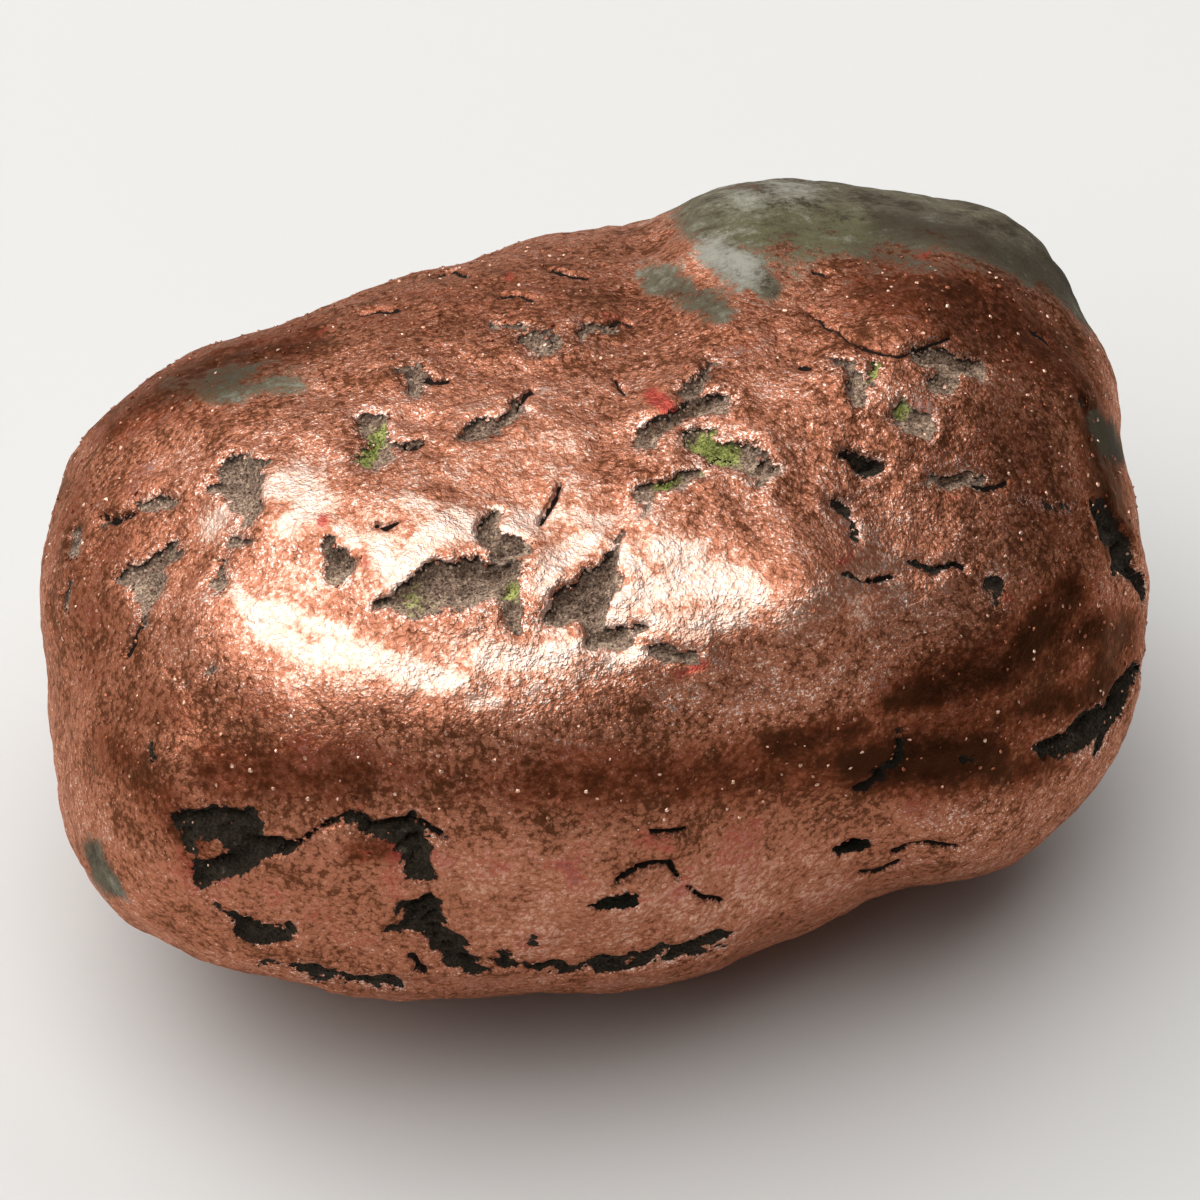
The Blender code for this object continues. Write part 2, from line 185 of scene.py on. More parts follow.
FRONT_HOLLOWS = (
    # Left end.
    Hollow(0.45, (
        ((-12.9, 4.3, 0.45), (-12.6, 3.6, 0.8), (-12.3, 2.8, 0.4), (-12.3, 2.4, 0.2)),
        ((-13.9, 3.6, 0.15), (-13.0, 3.6, 0.5)), ((-12.2, 4.2, 0.35), (-11.7, 4.3, 0.2)),
    )),
    Hollow(0.3, (((-16.1, 3.0, 0.3), (-15.2, 3.0, 0.3)), ((-17.4, 2.6, 0.2), (-16.3, 2.6, 0.15)))),
    Hollow(0.45, (
        ((-14.5, 1.4, 0.25), (-15.1, 1.1, 0.4), (-15.8, 0.3, 0.6), (-16.6, 0.5, 0.3)),
        ((-15.9, 0.0, 0.5), (-15.8, -1.0, 0.2)),
    )),
    Hollow(0.4, (
        ((-12.9, 1.7, 0.25), (-12.2, 1.5, 0.2)),
        ((-13.0, 0.9, 0.25), (-13.2, 0.3, 0.25), (-13.2, -0.1, 0.15)),
    )),
    Hollow(0.3, (
        ((-18.4, 2.1, 0.2), (-18.5, 1.2, 0.25)), ((-18.6, 0.2, 0.2), (-18.8, -0.9, 0.15)),
    )),
    Hollow(0.25, (((-13.3, -2.8, 0.2),), ((-14.4, -3.3, 0.15),))),
    Hollow(0.3, (((-15.2, -5.4, 0.25),),), Filling.SHADED),
    # Upper row.
    Hollow(0.5, (
        ((-9.6, 1.8, 0.15), (-9.6, 1.3, 0.3), (-9.2, 0.8, 0.6), (-8.7, 0.5, 0.45)),
        ((-8.6, 0.7, 0.35), (-8.5, 0.5, 0.3)),
    )),
    Hollow(0.4, (
        ((-8.3, 5.9, 0.4), (-8.0, 5.2, 0.5), (-7.9, 4.6, 0.6)),
        ((-8.4, 4.4, 0.3), (-7.8, 4.6, 0.5)),
        ((-7.7, 4.6, 0.4), (-7.0, 4.9, 0.2), (-6.4, 5.0, 0.15)),
    )),
    Hollow(0.35, (
        ((-7.5, 7.7, 0.1), (-6.6, 7.7, 0.2)), ((-6.7, 7.5, 0.3), (-6.6, 6.9, 0.35)),
    ), Filling.ROCK, 0.3),
    Hollow(0.35, (
        ((-4.7, 5.5, 0.4), (-4.0, 5.5, 0.4), (-3.4, 5.8, 0.3)),
        ((-3.3, 6.1, 0.3), (-2.9, 6.3, 0.35)),
    )),
    Hollow(0.35, (
        ((-4.0, 9.3, 0.15), (-3.1, 9.1, 0.2), (-2.1, 9.0, 0.2)),
        ((-3.1, 8.8, 0.3), (-2.3, 8.6, 0.45), (-1.7, 8.6, 0.3)),
    )),
    Hollow(0.25, (((-0.8, 9.0, 0.3), (-0.1, 9.2, 0.35)),)),
    Hollow(0.65, (
        ((3.8, 7.8, 0.25), (3.3, 7.4, 0.3), (2.7, 6.8, 0.3)),
        ((4.0, 6.5, 0.45), (3.1, 6.5, 0.5), (2.5, 5.9, 0.4), (1.5, 5.4, 0.45), (1.0, 5.1, 0.25)),
    )),
    Hollow(0.45, (
        ((3.0, 4.8, 0.45), (3.8, 4.8, 0.7), (4.8, 4.5, 0.55), (5.7, 4.0, 0.25)),
        ((5.3, 3.9, 0.2), (5.3, 3.5, 0.1)), ((1.4, 3.3, 0.3), (2.3, 3.6, 0.35), (3.1, 4.0, 0.25)),
        ((1.9, 3.4, 0.25), (1.3, 2.6, 0.15)),
    )),
    # The two large hollows in the middle, and the small one right of them.
    Hollow(0.55, (
        ((-3.9, 2.5, 0.3), (-3.8, 1.9, 0.4), (-3.4, 1.3, 0.45), (-2.6, 1.3, 0.15)),
        ((-7.7, -0.7, 0.2), (-6.9, -0.4, 0.55), (-5.7, -0.1, 0.85), (-4.5, 0.4, 0.95),
         (-3.4, 0.5, 0.6)),
        ((-3.1, 0.7, 0.4), (-3.2, -0.2, 0.45), (-3.2, -0.9, 0.4), (-2.9, -1.3, 0.25)),
    )),
    Hollow(0.55, (
        ((0.2, 1.7, 0.15), (0.2, 1.1, 0.3), (0.3, 0.5, 0.45)),
        ((0.2, 0.3, 0.45), (-0.5, -0.1, 0.6), (-1.2, -0.6, 0.75), (-1.8, -1.1, 0.45)),
        ((-0.3, -0.4, 0.4), (-0.7, -1.0, 0.55), (-0.3, -1.5, 0.35), (0.4, -1.6, 0.3),
         (1.2, -1.4, 0.25)),
    )),
    Hollow(0.35, (((1.9, -2.3, 0.3), (2.7, -2.2, 0.3)),)),
    # Right half.
    Hollow(0.45, (
        ((8.1, 7.9, 0.3), (8.4, 7.5, 0.4), (8.7, 6.9, 0.4)), ((9.3, 7.7, 0.3), (9.2, 7.3, 0.15)),
    )),
    Hollow(0.4, (
        ((11.0, 8.2, 0.45), (12.0, 8.0, 0.5), (13.1, 7.7, 0.35)),
        ((12.0, 7.7, 0.45), (11.5, 7.0, 0.4)),
    )),
    Hollow(0.4, (((10.3, 5.9, 0.6), (10.9, 5.6, 0.4)), ((10.2, 6.3, 0.3),))),
    Hollow(0.7, (((8.1, 4.6, 0.25), (8.7, 4.3, 0.45), (9.4, 4.2, 0.25)),), Filling.SHADED),
    Hollow(0.5, (((11.1, 3.6, 0.25), (12.1, 3.6, 0.45), (12.9, 3.7, 0.25)),)),
    Hollow(0.55, (
        ((7.6, 3.0, 0.15), (8.1, 2.7, 0.25), (8.3, 2.2, 0.15), (8.4, 1.6, 0.15)),
    ), Filling.SHADED, 0.25),
    Hollow(0.4, (((8.1, 0.3, 0.2), (8.7, 0.2, 0.25)), ((9.0, 0.3, 0.1), (9.8, 0.5, 0.1)))),
    Hollow(0.3, (
        ((10.5, 0.8, 0.15), (11.2, 0.7, 0.2)), ((11.5, 0.8, 0.1), (12.2, 0.8, 0.1)),
    ), Filling.SHADED, 0.25),
    Hollow(0.35, (
        ((13.2, 0.3, 0.25), (13.5, 0.2, 0.25), (13.5, -0.4, 0.15)),
    ), Filling.SHADED, 0.25),
    Hollow(0.3, (((14.5, 3.3, 0.15), (15.3, 3.1, 0.15), (16.0, 2.9, 0.15)),), Filling.SHADED, 0.3),
    Hollow(0.3, (((16.9, 6.7, 0.3),),), Filling.SHADED),
    Hollow(0.5, (
        ((17.3, 2.7, 0.5), (17.8, 1.9, 0.65), (18.4, 1.0, 0.7), (19.1, 0.0, 0.5)),
    ), Filling.SHADED, 0.6),
    Hollow(0.45, (
        ((15.4, -5.4, 0.5), (16.6, -5.3, 0.7), (17.4, -4.7, 0.8), (18.0, -3.9, 0.75),
         (18.7, -3.1, 0.55), (19.2, -2.6, 0.3)),
        ((16.1, -4.9, 0.15), (17.2, -4.1, 0.1)),
    ), Filling.SHADED, 0.6),
    Hollow(0.6, (
        ((10.0, -4.9, 0.15), (10.2, -5.4, 0.15), (9.9, -5.9, 0.2), (9.2, -6.3, 0.15),
         (8.6, -6.7, 0.1)),
    ), Filling.EMPTY, 0.25),
    Hollow(0.3, (((12.4, -5.8, 0.25),),), Filling.EMPTY, 0.3),
    Hollow(0.6, (((8.1, -9.0, 0.3), (8.6, -8.9, 0.4)),), Filling.EMPTY, 0.3),
    # Lower left and the lower edge.
    Hollow(0.45, (
        ((-14.3, -7.9, 0.45), (-13.1, -7.7, 0.55), (-12.2, -7.9, 0.45)),
        ((-12.8, -8.0, 0.45), (-11.8, -8.7, 0.65), (-11.0, -8.8, 0.5)),
        ((-12.0, -8.9, 0.5), (-12.9, -9.4, 0.6), (-13.6, -9.7, 0.5)),
        ((-14.3, -8.0, 0.4), (-14.0, -8.9, 0.35)),
    ), Filling.SHADED),
    Hollow(0.55, (
        ((-9.3, -7.8, 0.2), (-8.4, -7.8, 0.25), (-7.5, -7.9, 0.35), (-6.7, -7.9, 0.45)),
        ((-6.7, -8.0, 0.55), (-6.5, -8.7, 0.65), (-6.4, -9.4, 0.55), (-6.7, -9.9, 0.2)),
        ((-6.6, -7.9, 0.2), (-5.9, -8.0, 0.15), (-5.3, -8.3, 0.1)),
    ), Filling.SHADED),
    Hollow(0.45, (
        ((-13.1, -10.8, 0.2), (-12.4, -11.5, 0.5), (-11.6, -11.7, 0.6), (-10.9, -11.7, 0.4)),
    ), Filling.SHADED),
    Hollow(0.5, (
        ((-7.4, -11.4, 0.15), (-6.8, -11.3, 0.25)),
        ((-6.7, -11.0, 0.4), (-6.0, -10.8, 0.5), (-6.0, -11.4, 0.55), (-5.5, -12.0, 0.55),
         (-5.1, -12.4, 0.45), (-4.5, -12.7, 0.35), (-4.0, -12.7, 0.2)),
    ), Filling.SHADED, 0.6),
    Hollow(0.3, (((-2.4, -11.9, 0.2),), ((-6.6, -12.9, 0.15),)), Filling.SHADED),
    Hollow(0.3, (
        ((-11.5, -12.8, 0.2), (-10.4, -13.0, 0.3), (-9.0, -13.4, 0.4), (-7.1, -13.5, 0.35)),
    ), Filling.SHADED, 0.6),
    Hollow(0.3, (
        ((-3.4, -12.7, 0.3), (-2.4, -12.9, 0.4), (-1.3, -13.1, 0.45), (-0.5, -13.0, 0.45)),
        ((-0.2, -12.9, 0.45), (0.8, -12.8, 0.45), (1.6, -12.7, 0.4)),
    ), Filling.SHADED, 0.8),
    Hollow(0.3, (
        ((1.8, -12.5, 0.3), (2.8, -12.3, 0.5), (3.6, -12.1, 0.45), (4.4, -11.9, 0.3)),
    ), Filling.SHADED, 0.8),
    Hollow(0.35, (
        ((-0.7, -10.7, 0.1), (0.1, -10.6, 0.25), (1.0, -10.5, 0.25)),
    ), Filling.EMPTY, 0.3),
)

BACK_HOLLOWS = (
    Hollow(0.5, (
        ((-9.6, 7.4, 0.8), (-7.2, 7.2, 1.1), (-5.0, 8.0, 0.7)),
        ((-7.0, 7.0, 0.7), (-6.4, 5.0, 0.5)),
    )),
    Hollow(0.5, (
        ((3.6, 9.4, 0.5), (5.4, 8.4, 0.8), (7.6, 8.8, 0.4)), ((5.4, 8.4, 0.5), (5.8, 6.6, 0.4)),
    )),
    Hollow(0.5, (((4.6, 3.6, 0.4), (6.4, 3.2, 0.7), (7.0, 1.8, 0.4)),), Filling.SHADED),
    Hollow(0.5, (((-1.8, 2.2, 0.4), (0.6, 1.6, 0.6), (2.4, 2.2, 0.3)),)),
    Hollow(0.45, (((-13.8, 2.2, 0.5), (-12.2, 1.4, 0.8), (-10.6, 1.8, 0.3)),)),
    Hollow(0.5, (((13.2, -1.6, 0.4), (14.4, -2.4, 0.5)),), Filling.SHADED),
    Hollow(0.6, (((9.0, -4.6, 0.5), (10.0, -5.2, 0.4)),), Filling.EMPTY),
    Hollow(0.45, (((-2.6, 9.6, 0.4), (-1.2, 10.2, 0.5)),)),
    Hollow(0.45, (((10.6, 9.6, 0.4), (11.8, 8.6, 0.6), (12.0, 7.2, 0.3)),)),
    Hollow(0.45, (((-8.6, -5.4, 0.4), (-7.0, -6.0, 0.6), (-5.6, -5.8, 0.3)),), Filling.SHADED),
    Hollow(0.45, (((-14.8, -5.6, 0.5), (-13.6, -6.8, 0.5)),), Filling.SHADED),
    Hollow(0.4, (((15.4, 5.6, 0.6), (16.4, 3.8, 0.7), (16.6, 2.2, 0.4)),)),
    Hollow(0.3, (((-15.6, 5.4, 0.3), (-14.6, 5.0, 0.3)),)),
    Hollow(0.3, (((-11.4, 5.6, 0.2), (-11.0, 4.6, 0.3)),)),
    Hollow(0.35, (((-3.4, 5.8, 0.3), (-2.8, 5.0, 0.4)),)),
    Hollow(0.35, (((0.8, 6.4, 0.2), (1.8, 5.8, 0.4)),)),
    Hollow(0.35, (((8.8, 6.0, 0.3), (9.8, 5.4, 0.4), (10.2, 4.4, 0.2)),)),
    Hollow(0.35, (((1.6, 11.4, 0.2), (2.6, 11.2, 0.3)),)),
    Hollow(0.3, (((-6.6, 2.6, 0.3), (-5.6, 2.0, 0.2)),)),
    Hollow(0.3, (((11.4, 1.6, 0.3), (12.4, 1.4, 0.2)),)),
    Hollow(0.3, (((-16.4, -1.0, 0.3), (-16.0, -2.2, 0.3)),)),
    Hollow(0.3, (((4.4, -1.4, 0.3), (5.4, -1.8, 0.2)),)),
    Hollow(0.3, (((-11.0, -1.6, 0.4), (-9.8, -2.0, 0.2)),)),
)

FRONT_CRACKS = (
    Crack(((-17.6, 2.6), (-17.0, 2.4), (-16.3, 2.7))),
    Crack(((-7.0, 4.9), (-6.6, 4.8), (-6.3, 5.0))), Crack(((-7.8, 2.2), (-7.4, 2.1), (-7.1, 2.3))),
    Crack(((-6.3, 7.3), (-5.8, 7.2), (-5.5, 7.3))), Crack(((-3.0, 6.5), (-2.7, 6.8), (-2.5, 6.8))),
    Crack(((-6.1, 11.3), (-5.5, 11.6), (-5.0, 11.3))),
    Crack(((-2.1, 11.5), (-1.4, 11.3), (-0.7, 11.1))),
    Crack(((-1.6, 3.5), (-1.9, 2.9), (-2.2, 2.3)), 0.1, 0.35), Crack(((6.7, 7.8), (7.0, 7.7)), 0.1),
    Crack((
        (7.0, 9.9), (7.7, 9.3), (8.5, 8.7), (9.3, 8.3), (10.1, 8.1), (11.1, 8.5), (12.0, 8.8),
    ), 0.05, 0.22),
    Crack(((-3.8, 10.4), (-3.1, 10.5), (-2.6, 10.3)), 0.06, 0.2),
    Crack(((-8.7, 9.8), (-8.1, 10.0), (-7.4, 10.0)), 0.06, 0.2),
    Crack(((0.3, 7.4), (0.4, 7.1), (0.6, 6.9)), 0.06, 0.2),
    Crack(((0.2, 9.3), (0.5, 9.5), (0.8, 9.4)), 0.06, 0.2),
    Crack(((7.3, 11.3), (7.8, 11.2)), 0.06, 0.2),
    Crack(((15.0, 9.2), (15.4, 9.0), (15.7, 8.8)), 0.08, 0.2),
    Crack(((3.5, 4.3), (3.8, 4.7), (4.2, 4.5)), 0.05, 0.2),
    Crack(((8.9, 0.3), (9.4, 0.4), (9.8, 0.5))), Crack(((11.4, 0.8), (11.9, 0.9), (12.3, 0.8))),
    Crack(((12.7, 3.6), (13.3, 3.5), (13.8, 3.7))),
    Crack(((9.4, -6.3), (9.0, -6.6), (8.5, -6.8)), 0.12, 0.3),
    Crack(((8.8, -9.9), (9.5, -9.8), (10.2, -9.5))),
    Crack(((10.0, -9.1), (10.5, -8.9), (11.4, -8.8), (12.2, -9.0))),
    Crack(((-11.1, -8.8), (-10.3, -8.4), (-9.7, -8.0), (-9.2, -7.8))),
    Crack(((-6.9, -7.7), (-6.0, -7.9), (-5.4, -8.3)), 0.12, 0.3),
    Crack(((-6.7, -12.4), (-6.3, -13.0)), 0.12),
    Crack(((0.3, -9.9), (0.8, -9.5), (1.4, -9.3), (2.1, -9.3), (2.5, -9.8)), 0.1, 0.32),
    Crack(((1.6, -8.2), (2.2, -8.2), (2.7, -8.1))),
    Crack(((2.8, -10.2), (3.4, -10.6), (4.0, -10.7))), Crack(((-16.0, -1.3), (-16.4, -2.2))),
)

BACK_CRACKS = (
    Crack(((-9.0, 9.4), (-8.0, 9.0), (-7.2, 9.2))),
    Crack(((-4.4, 7.0), (-3.4, 7.4), (-2.6, 7.2)), 0.1, 0.3),
    Crack(((7.4, 6.8), (8.2, 7.2), (9.0, 7.0), (9.8, 7.4)), 0.1, 0.3),
    Crack(((0.0, 3.6), (0.8, 3.2), (1.6, 3.4))),
    Crack(((-12.6, -2.0), (-11.8, -2.6), (-11.0, -2.4))),
    Crack(((13.6, 1.6), (14.2, 0.8), (14.0, 0.0))),
)

# Soft-edged stains, each an amount from 0 up and a stroke. Some are painted light: the
# bright ones are mostly painted highlight, and the tarnished ones partly painted shade.
FRONT_STAINS = {
    # Yellow-green epidote in the rock.
    Tint.EPIDOTE: (
        (1.0, ((3.7, 4.8, 0.9),)), (0.8, ((1.9, 3.8, 0.5), (2.5, 4.4, 0.4))),
        (0.6, ((-14.7, 7.2, 1.0),)), (0.5, ((-15.5, 1.8, 0.6),)),
        (0.8, ((-7.8, 5.5, 0.4), (-8.4, 4.5, 0.4))), (0.6, ((-3.1, 0.0, 0.5),)),
        (0.4, ((-6.5, -0.3, 1.0),)), (0.8, ((9.3, 7.7, 0.6),)), (0.6, ((10.2, 6.3, 0.5),)),
        (0.7, ((8.3, 1.7, 0.3),)), (0.5, ((5.4, 13.3, 1.6), (8.9, 12.8, 1.0))),
        (0.5, ((17.7, 5.5, 0.8),)), (0.7, ((-4.7, 11.0, 0.5),)), (0.8, ((-0.2, 11.6, 0.5),)),
    ),
    # Red cuprite on torn edges, and a breath of it over the lower zone and the left end.
    Tint.CUPRITE: (
        (1.0, ((1.6, 6.7, 0.3), (2.1, 6.2, 0.35))), (0.9, ((-9.6, 2.3, 0.3),)),
        (0.9, ((-8.1, 0.8, 0.3), (-8.2, 1.4, 0.2))), (0.8, ((-10.1, 9.3, 0.3),)),
        (0.8, ((-3.5, 11.2, 0.3),)), (0.9, ((11.3, 12.3, 0.3),)), (0.7, ((0.0, 9.5, 0.4),)),
        (0.7, ((13.8, -0.2, 0.3),)), (0.8, ((11.3, 3.1, 0.2), (12.0, 3.1, 0.2))),
        (0.8, ((8.2, 1.1, 0.3), (7.8, 0.8, 0.3))), (0.7, ((2.4, -2.8, 0.3), (3.2, -2.5, 0.2))),
        (0.6, ((1.3, -8.5, 0.7), (2.4, -8.8, 0.6))), (0.5, ((-8.2, -7.1, 0.5),)),
        (0.5, ((-16.1, 1.9, 0.4),)), (1.2, ((11.3, 12.0, 0.3),)),
        (0.3, ((-14.0, -9.5, 3.0), (-4.0, -10.5, 3.2), (8.0, -9.0, 3.0))),
        (0.1, ((-16.5, 2.0, 2.6), (-17.0, -4.0, 2.6), (-11.0, -5.0, 2.6))),
    ),
    # Tarnish, brown and deep red on the far shoulder, and painted shade in the dark band below
    # the highlight, at both ends and along the edges.
    Tint.TARNISH_AND_SHADE: (
        (0.9, ((9.9, 10.7, 2.4), (13.3, 10.2, 2.6), (16.1, 8.2, 1.8))),
        (0.5, ((-7.8, 9.6, 2.6), (-2.0, 10.4, 2.6), (4.8, 9.3, 2.2))),
        (0.6, ((14.1, 5.2, 3.0), (16.0, 1.0, 2.4))),
        (1.4, ((9.6, -3.8, 0.7), (11.3, -3.3, 1.2), (13.8, -2.6, 1.4), (16.1, -0.2, 1.1))),
        (1.2, ((5.6, -5.3, 0.8), (8.5, -4.8, 1.0))), (1.1, ((14.3, -6.3, 1.0), (15.5, -5.7, 0.9))),
        (1.0, ((-8.4, -8.8, 0.6), (-7.2, -8.7, 0.5))),
        (0.9, ((-16.8, -5.5, 1.2), (-15.2, -6.8, 1.2), (-13.9, -8.5, 1.0))),
        (0.6, ((-15.7, 6.3, 1.1), (-13.8, 6.0, 0.9), (-12.5, 8.9, 1.3), (-10.3, 9.4, 1.3))),
        (0.6, ((-18.8, 3.5, 1.3), (-18.5, 0.0, 1.3), (-17.9, -2.1, 1.3))),
        (1.0, ((10.6, -3.4, 1.3), (12.5, -2.8, 1.7), (15.5, -2.2, 2.1))),
        (0.5, ((-17.0, 3.5, 1.6), (-17.5, -2.5, 1.6))),
        (1.0, ((-13.0, -6.0, 1.6), (-8.6, -6.1, 1.6))),
        (0.7, ((-8.6, -6.2, 1.4), (-2.6, -6.4, 1.4))),
        (1.0, ((-2.4, -6.4, 1.4), (3.0, -6.3, 1.5), (8.0, -5.8, 1.7), (14.0, -4.4, 2.0))),
        (0.5, ((7.2, 9.2, 1.6), (9.0, 8.6, 1.6))), (0.4, ((10.9, 5.6, 1.3), (11.0, 4.2, 1.1))),
        (0.1, ((-8.5, -10.4, 3.0), (-1.0, -9.6, 3.0), (8.0, -8.0, 2.6))),
        (1.6, ((8.4, -5.9, 1.1), (10.7, -5.8, 1.5), (13.0, -5.7, 1.4))),
        (1.4, ((17.0, 7.0, 0.8), (17.5, 4.6, 1.0), (17.8, 2.0, 1.0))),
        (1.3, ((16.6, -1.4, 1.1), (18.1, -1.5, 1.1), (17.2, -3.5, 1.1), (14.4, -4.2, 0.9))),
        (1.0, ((-17.4, 6.0, 1.2), (-15.8, 7.0, 1.5), (-13.8, 7.8, 1.5), (-10.6, 8.9, 1.1))),
        (0.6, ((-16.5, -4.1, 1.2), (-13.9, -4.1, 1.4), (-11.4, -4.2, 1.0))),
        (0.9, ((10.0, 13.1, 0.9), (12.0, 12.9, 1.1), (14.0, 12.1, 0.9), (16.4, 11.4, 1.2))),
    ),
    # The weathered crust on the far shoulder, along the upper left edge and on the rims.
    Tint.CRUST: (
        (1.0, ((4.0, 13.6, 1.8), (6.3, 14.0, 2.9), (9.0, 14.0, 2.6), (12.0, 13.9, 2.2),
              (14.1, 13.2, 2.2), (16.1, 12.0, 1.8), (17.6, 10.5, 1.2))),
        (1.0, ((4.2, 11.9, 1.0), (5.1, 11.3, 0.8), (5.8, 10.6, 0.5))),
        (0.55, ((-15.4, 7.1, 0.8), (-13.5, 7.4, 1.3), (-11.2, 7.2, 1.0))),
        (0.7, ((1.9, 11.0, 0.9), (2.9, 10.5, 0.8), (3.7, 10.0, 0.9))),
        (0.9, ((17.3, 5.9, 0.5), (17.8, 5.4, 0.7), (18.2, 4.9, 0.6))),
        (0.9, ((-17.8, -9.0, 0.5), (-17.5, -9.7, 0.6), (-17.1, -10.2, 0.5))),
    ),
    # Painted highlight: pale plates where the lights reflect brightest, a fainter painted
    # highlight round them and along the lower edge, and pale blotches in the crust.
    Tint.BRIGHT: (
        (1.0, ((-11.6, 3.4, 0.6), (-10.6, 3.6, 0.7), (-9.9, 3.0, 0.8), (-10.8, 2.2, 0.6))),
        (1.0, ((-8.9, 2.0, 0.4), (-8.4, 1.5, 0.3))),
        (1.0, ((-7.7, 1.4, 0.6), (-7.1, 0.3, 0.4), (-6.7, 0.9, 0.5), (-5.9, 1.8, 0.6),
              (-5.1, 2.3, 0.7), (-4.5, 1.8, 0.4))),
        (0.9, ((-6.7, 3.0, 0.4), (-6.0, 2.8, 0.4))),
        (1.0, ((-3.3, 2.0, 0.4), (-2.9, 2.2, 0.6), (-2.3, 2.5, 0.4))),
        (1.0, ((-0.3, 1.8, 0.3), (-0.9, 1.5, 0.6), (-1.7, 0.9, 0.7), (-2.2, 0.1, 0.4))),
        (0.9, ((-1.7, -0.4, 0.2), (-2.0, -1.0, 0.3))),
        (0.8, ((-1.9, 2.6, 0.4), (-0.9, 2.4, 0.4), (0.1, 2.3, 0.3))),
        (1.0, ((0.4, 1.3, 0.4), (1.1, 0.7, 0.4))),
        (1.0, ((0.2, -1.3, 0.3), (0.5, -0.4, 0.5), (1.5, -0.1, 0.7), (3.0, 0.3, 0.9),
              (4.4, 0.1, 0.8), (5.1, -0.2, 0.5))),
        (1.0, ((1.8, 1.3, 0.5), (3.0, 1.3, 0.5))),
        (0.75, ((1.5, -1.1, 0.6), (3.2, -1.1, 0.7), (4.6, -0.9, 0.6))),
        (1.0, ((-12.5, -0.1, 0.3), (-11.5, -1.3, 0.5), (-10.1, -2.1, 0.5), (-8.5, -2.1, 0.6),
              (-7.2, -2.5, 0.7), (-5.9, -3.0, 0.6), (-4.9, -3.0, 0.4))),
        (0.9, ((-11.4, -0.6, 0.4), (-10.1, -1.1, 0.4), (-8.7, -1.5, 0.4))),
        (1.0, ((-4.1, -2.3, 0.5), (-2.8, -2.3, 0.6), (-1.7, -2.2, 0.5), (-0.9, -1.9, 0.3))),
        (0.8, ((0.1, -2.5, 0.3), (1.3, -2.1, 0.3))), (0.8, ((-4.5, -3.8, 0.3), (-3.7, -3.7, 0.3))),
        (0.9, ((-13.5, 2.1, 0.4), (-13.1, 2.6, 0.3))),
        (0.25, ((-5.1, -10.3, 1.4), (-1.2, -11.2, 1.6), (3.5, -10.6, 1.6), (8.0, -9.7, 1.2))),
        (0.4, ((-11.8, -0.7, 1.4), (-10.1, 0.0, 1.4), (-6.4, 2.0, 1.6), (-1.2, 2.0, 1.4),
              (2.4, 0.4, 1.8), (4.6, -0.3, 1.5))),
        (0.4, ((-10.0, -2.2, 1.4), (-4.6, -2.4, 1.4), (-1.2, -2.2, 1.2))),
        (0.3, ((-4.2, 5.4, 1.5), (-2.0, 4.4, 1.6))),
        (0.35, ((6.6, -0.6, 1.3), (8.4, 0.4, 1.5), (10.0, 0.8, 1.2))),
        (0.6, ((3.8, 11.9, 0.9), (5.0, 11.3, 0.8))), (0.4, ((5.0, 14.4, 1.4), (7.0, 14.6, 1.2))),
    ),
}

BACK_STAINS = {
    Tint.EPIDOTE: (
        (0.9, ((-7.4, 7.2, 0.8),)), (0.8, ((5.8, 8.2, 0.7),)),
    ),
    Tint.CUPRITE: (
        (0.6, ((-6.0, 6.0, 0.5),)), (0.6, ((8.6, 5.2, 0.5),)),
    ),
    Tint.TARNISH_AND_SHADE: (
        (0.5, ((9.0, 6.0, 3.4), (-8.0, 9.0, 3.4))), (0.5, ((-12.0, -2.0, 3.0), (6.0, -3.0, 3.0))),
    ),
    Tint.CRUST: (
        (1.0, ((4.2, 13.4, 1.3), (7.4, 13.6, 2.4), (10.4, 13.0, 2.2), (12.6, 11.9, 2.4),
              (14.8, 10.4, 1.4))),
    ),
    Tint.BRIGHT: (
        (0.4, ((-5.0, 3.0, 3.0), (4.0, 2.0, 3.0))),
    ),
}

SWELLS = {Side.FRONT: FRONT_SWELLS, Side.BACK: BACK_SWELLS}
HOLLOWS = {Side.FRONT: FRONT_HOLLOWS, Side.BACK: BACK_HOLLOWS}
CRACKS = {Side.FRONT: FRONT_CRACKS, Side.BACK: BACK_CRACKS}
STAINS = {Side.FRONT: FRONT_STAINS, Side.BACK: BACK_STAINS}


def smooth_step(low: float, high: float, value: Array) -> Array:
    """0 below low, 1 above high, and a smooth rise between them."""
    share = np.clip((value - low) / (high - low), 0.0, 1.0)
    return share * share * (3.0 - 2.0 * share)


def noise_at(points: Array, size: float, octaves: int, start: float = 0.0) -> Array:
    """Smooth noise at each point.

    Args:
        points: the points, in millimetres.
        size: how wide its lumps are, in millimetres.
        octaves: how many finer layers it has.
        start: where in the noise it is read, so that two readings differ.

    Returns:
        One value for each point, mostly between -1 and 1.
    """
    smoothness, lacunarity = 0.9, 2.1
    places = np.round(points / size + np.array(NOISE_PLACE) + start, 6)
    return np.array([
        noise.fractal(tuple(place), smoothness, lacunarity, octaves) for place in places])


def jagged_line(line: tuple[tuple[float, float], ...], step: float, sway: float,
                size: float) -> Array:
    """A line of points (u, v) with finer, uneven corners between them.

    Args:
        line: the points that it passes near.
        step: the distance between the finer corners, in millimetres.
        sway: how far a corner strays, in millimetres.
        size: how far apart corners stray alike, in millimetres.

    Returns:
        The finer corners, one row each.
    """
    corners = [np.array(line[0])]
    for start, end in zip(np.array(line), np.array(line[1:])):
        count = max(1, round(float(np.linalg.norm(end - start)) / step))
        corners.extend(start + (end - start) * share for share in np.arange(1, count + 1) / count)
    places = np.array(corners)
    flat = np.column_stack((places, np.zeros(len(places))))
    stray = [noise_at(flat, size, 1, start) for start in JAG_STARTS]
    return places + sway * np.column_stack(stray)


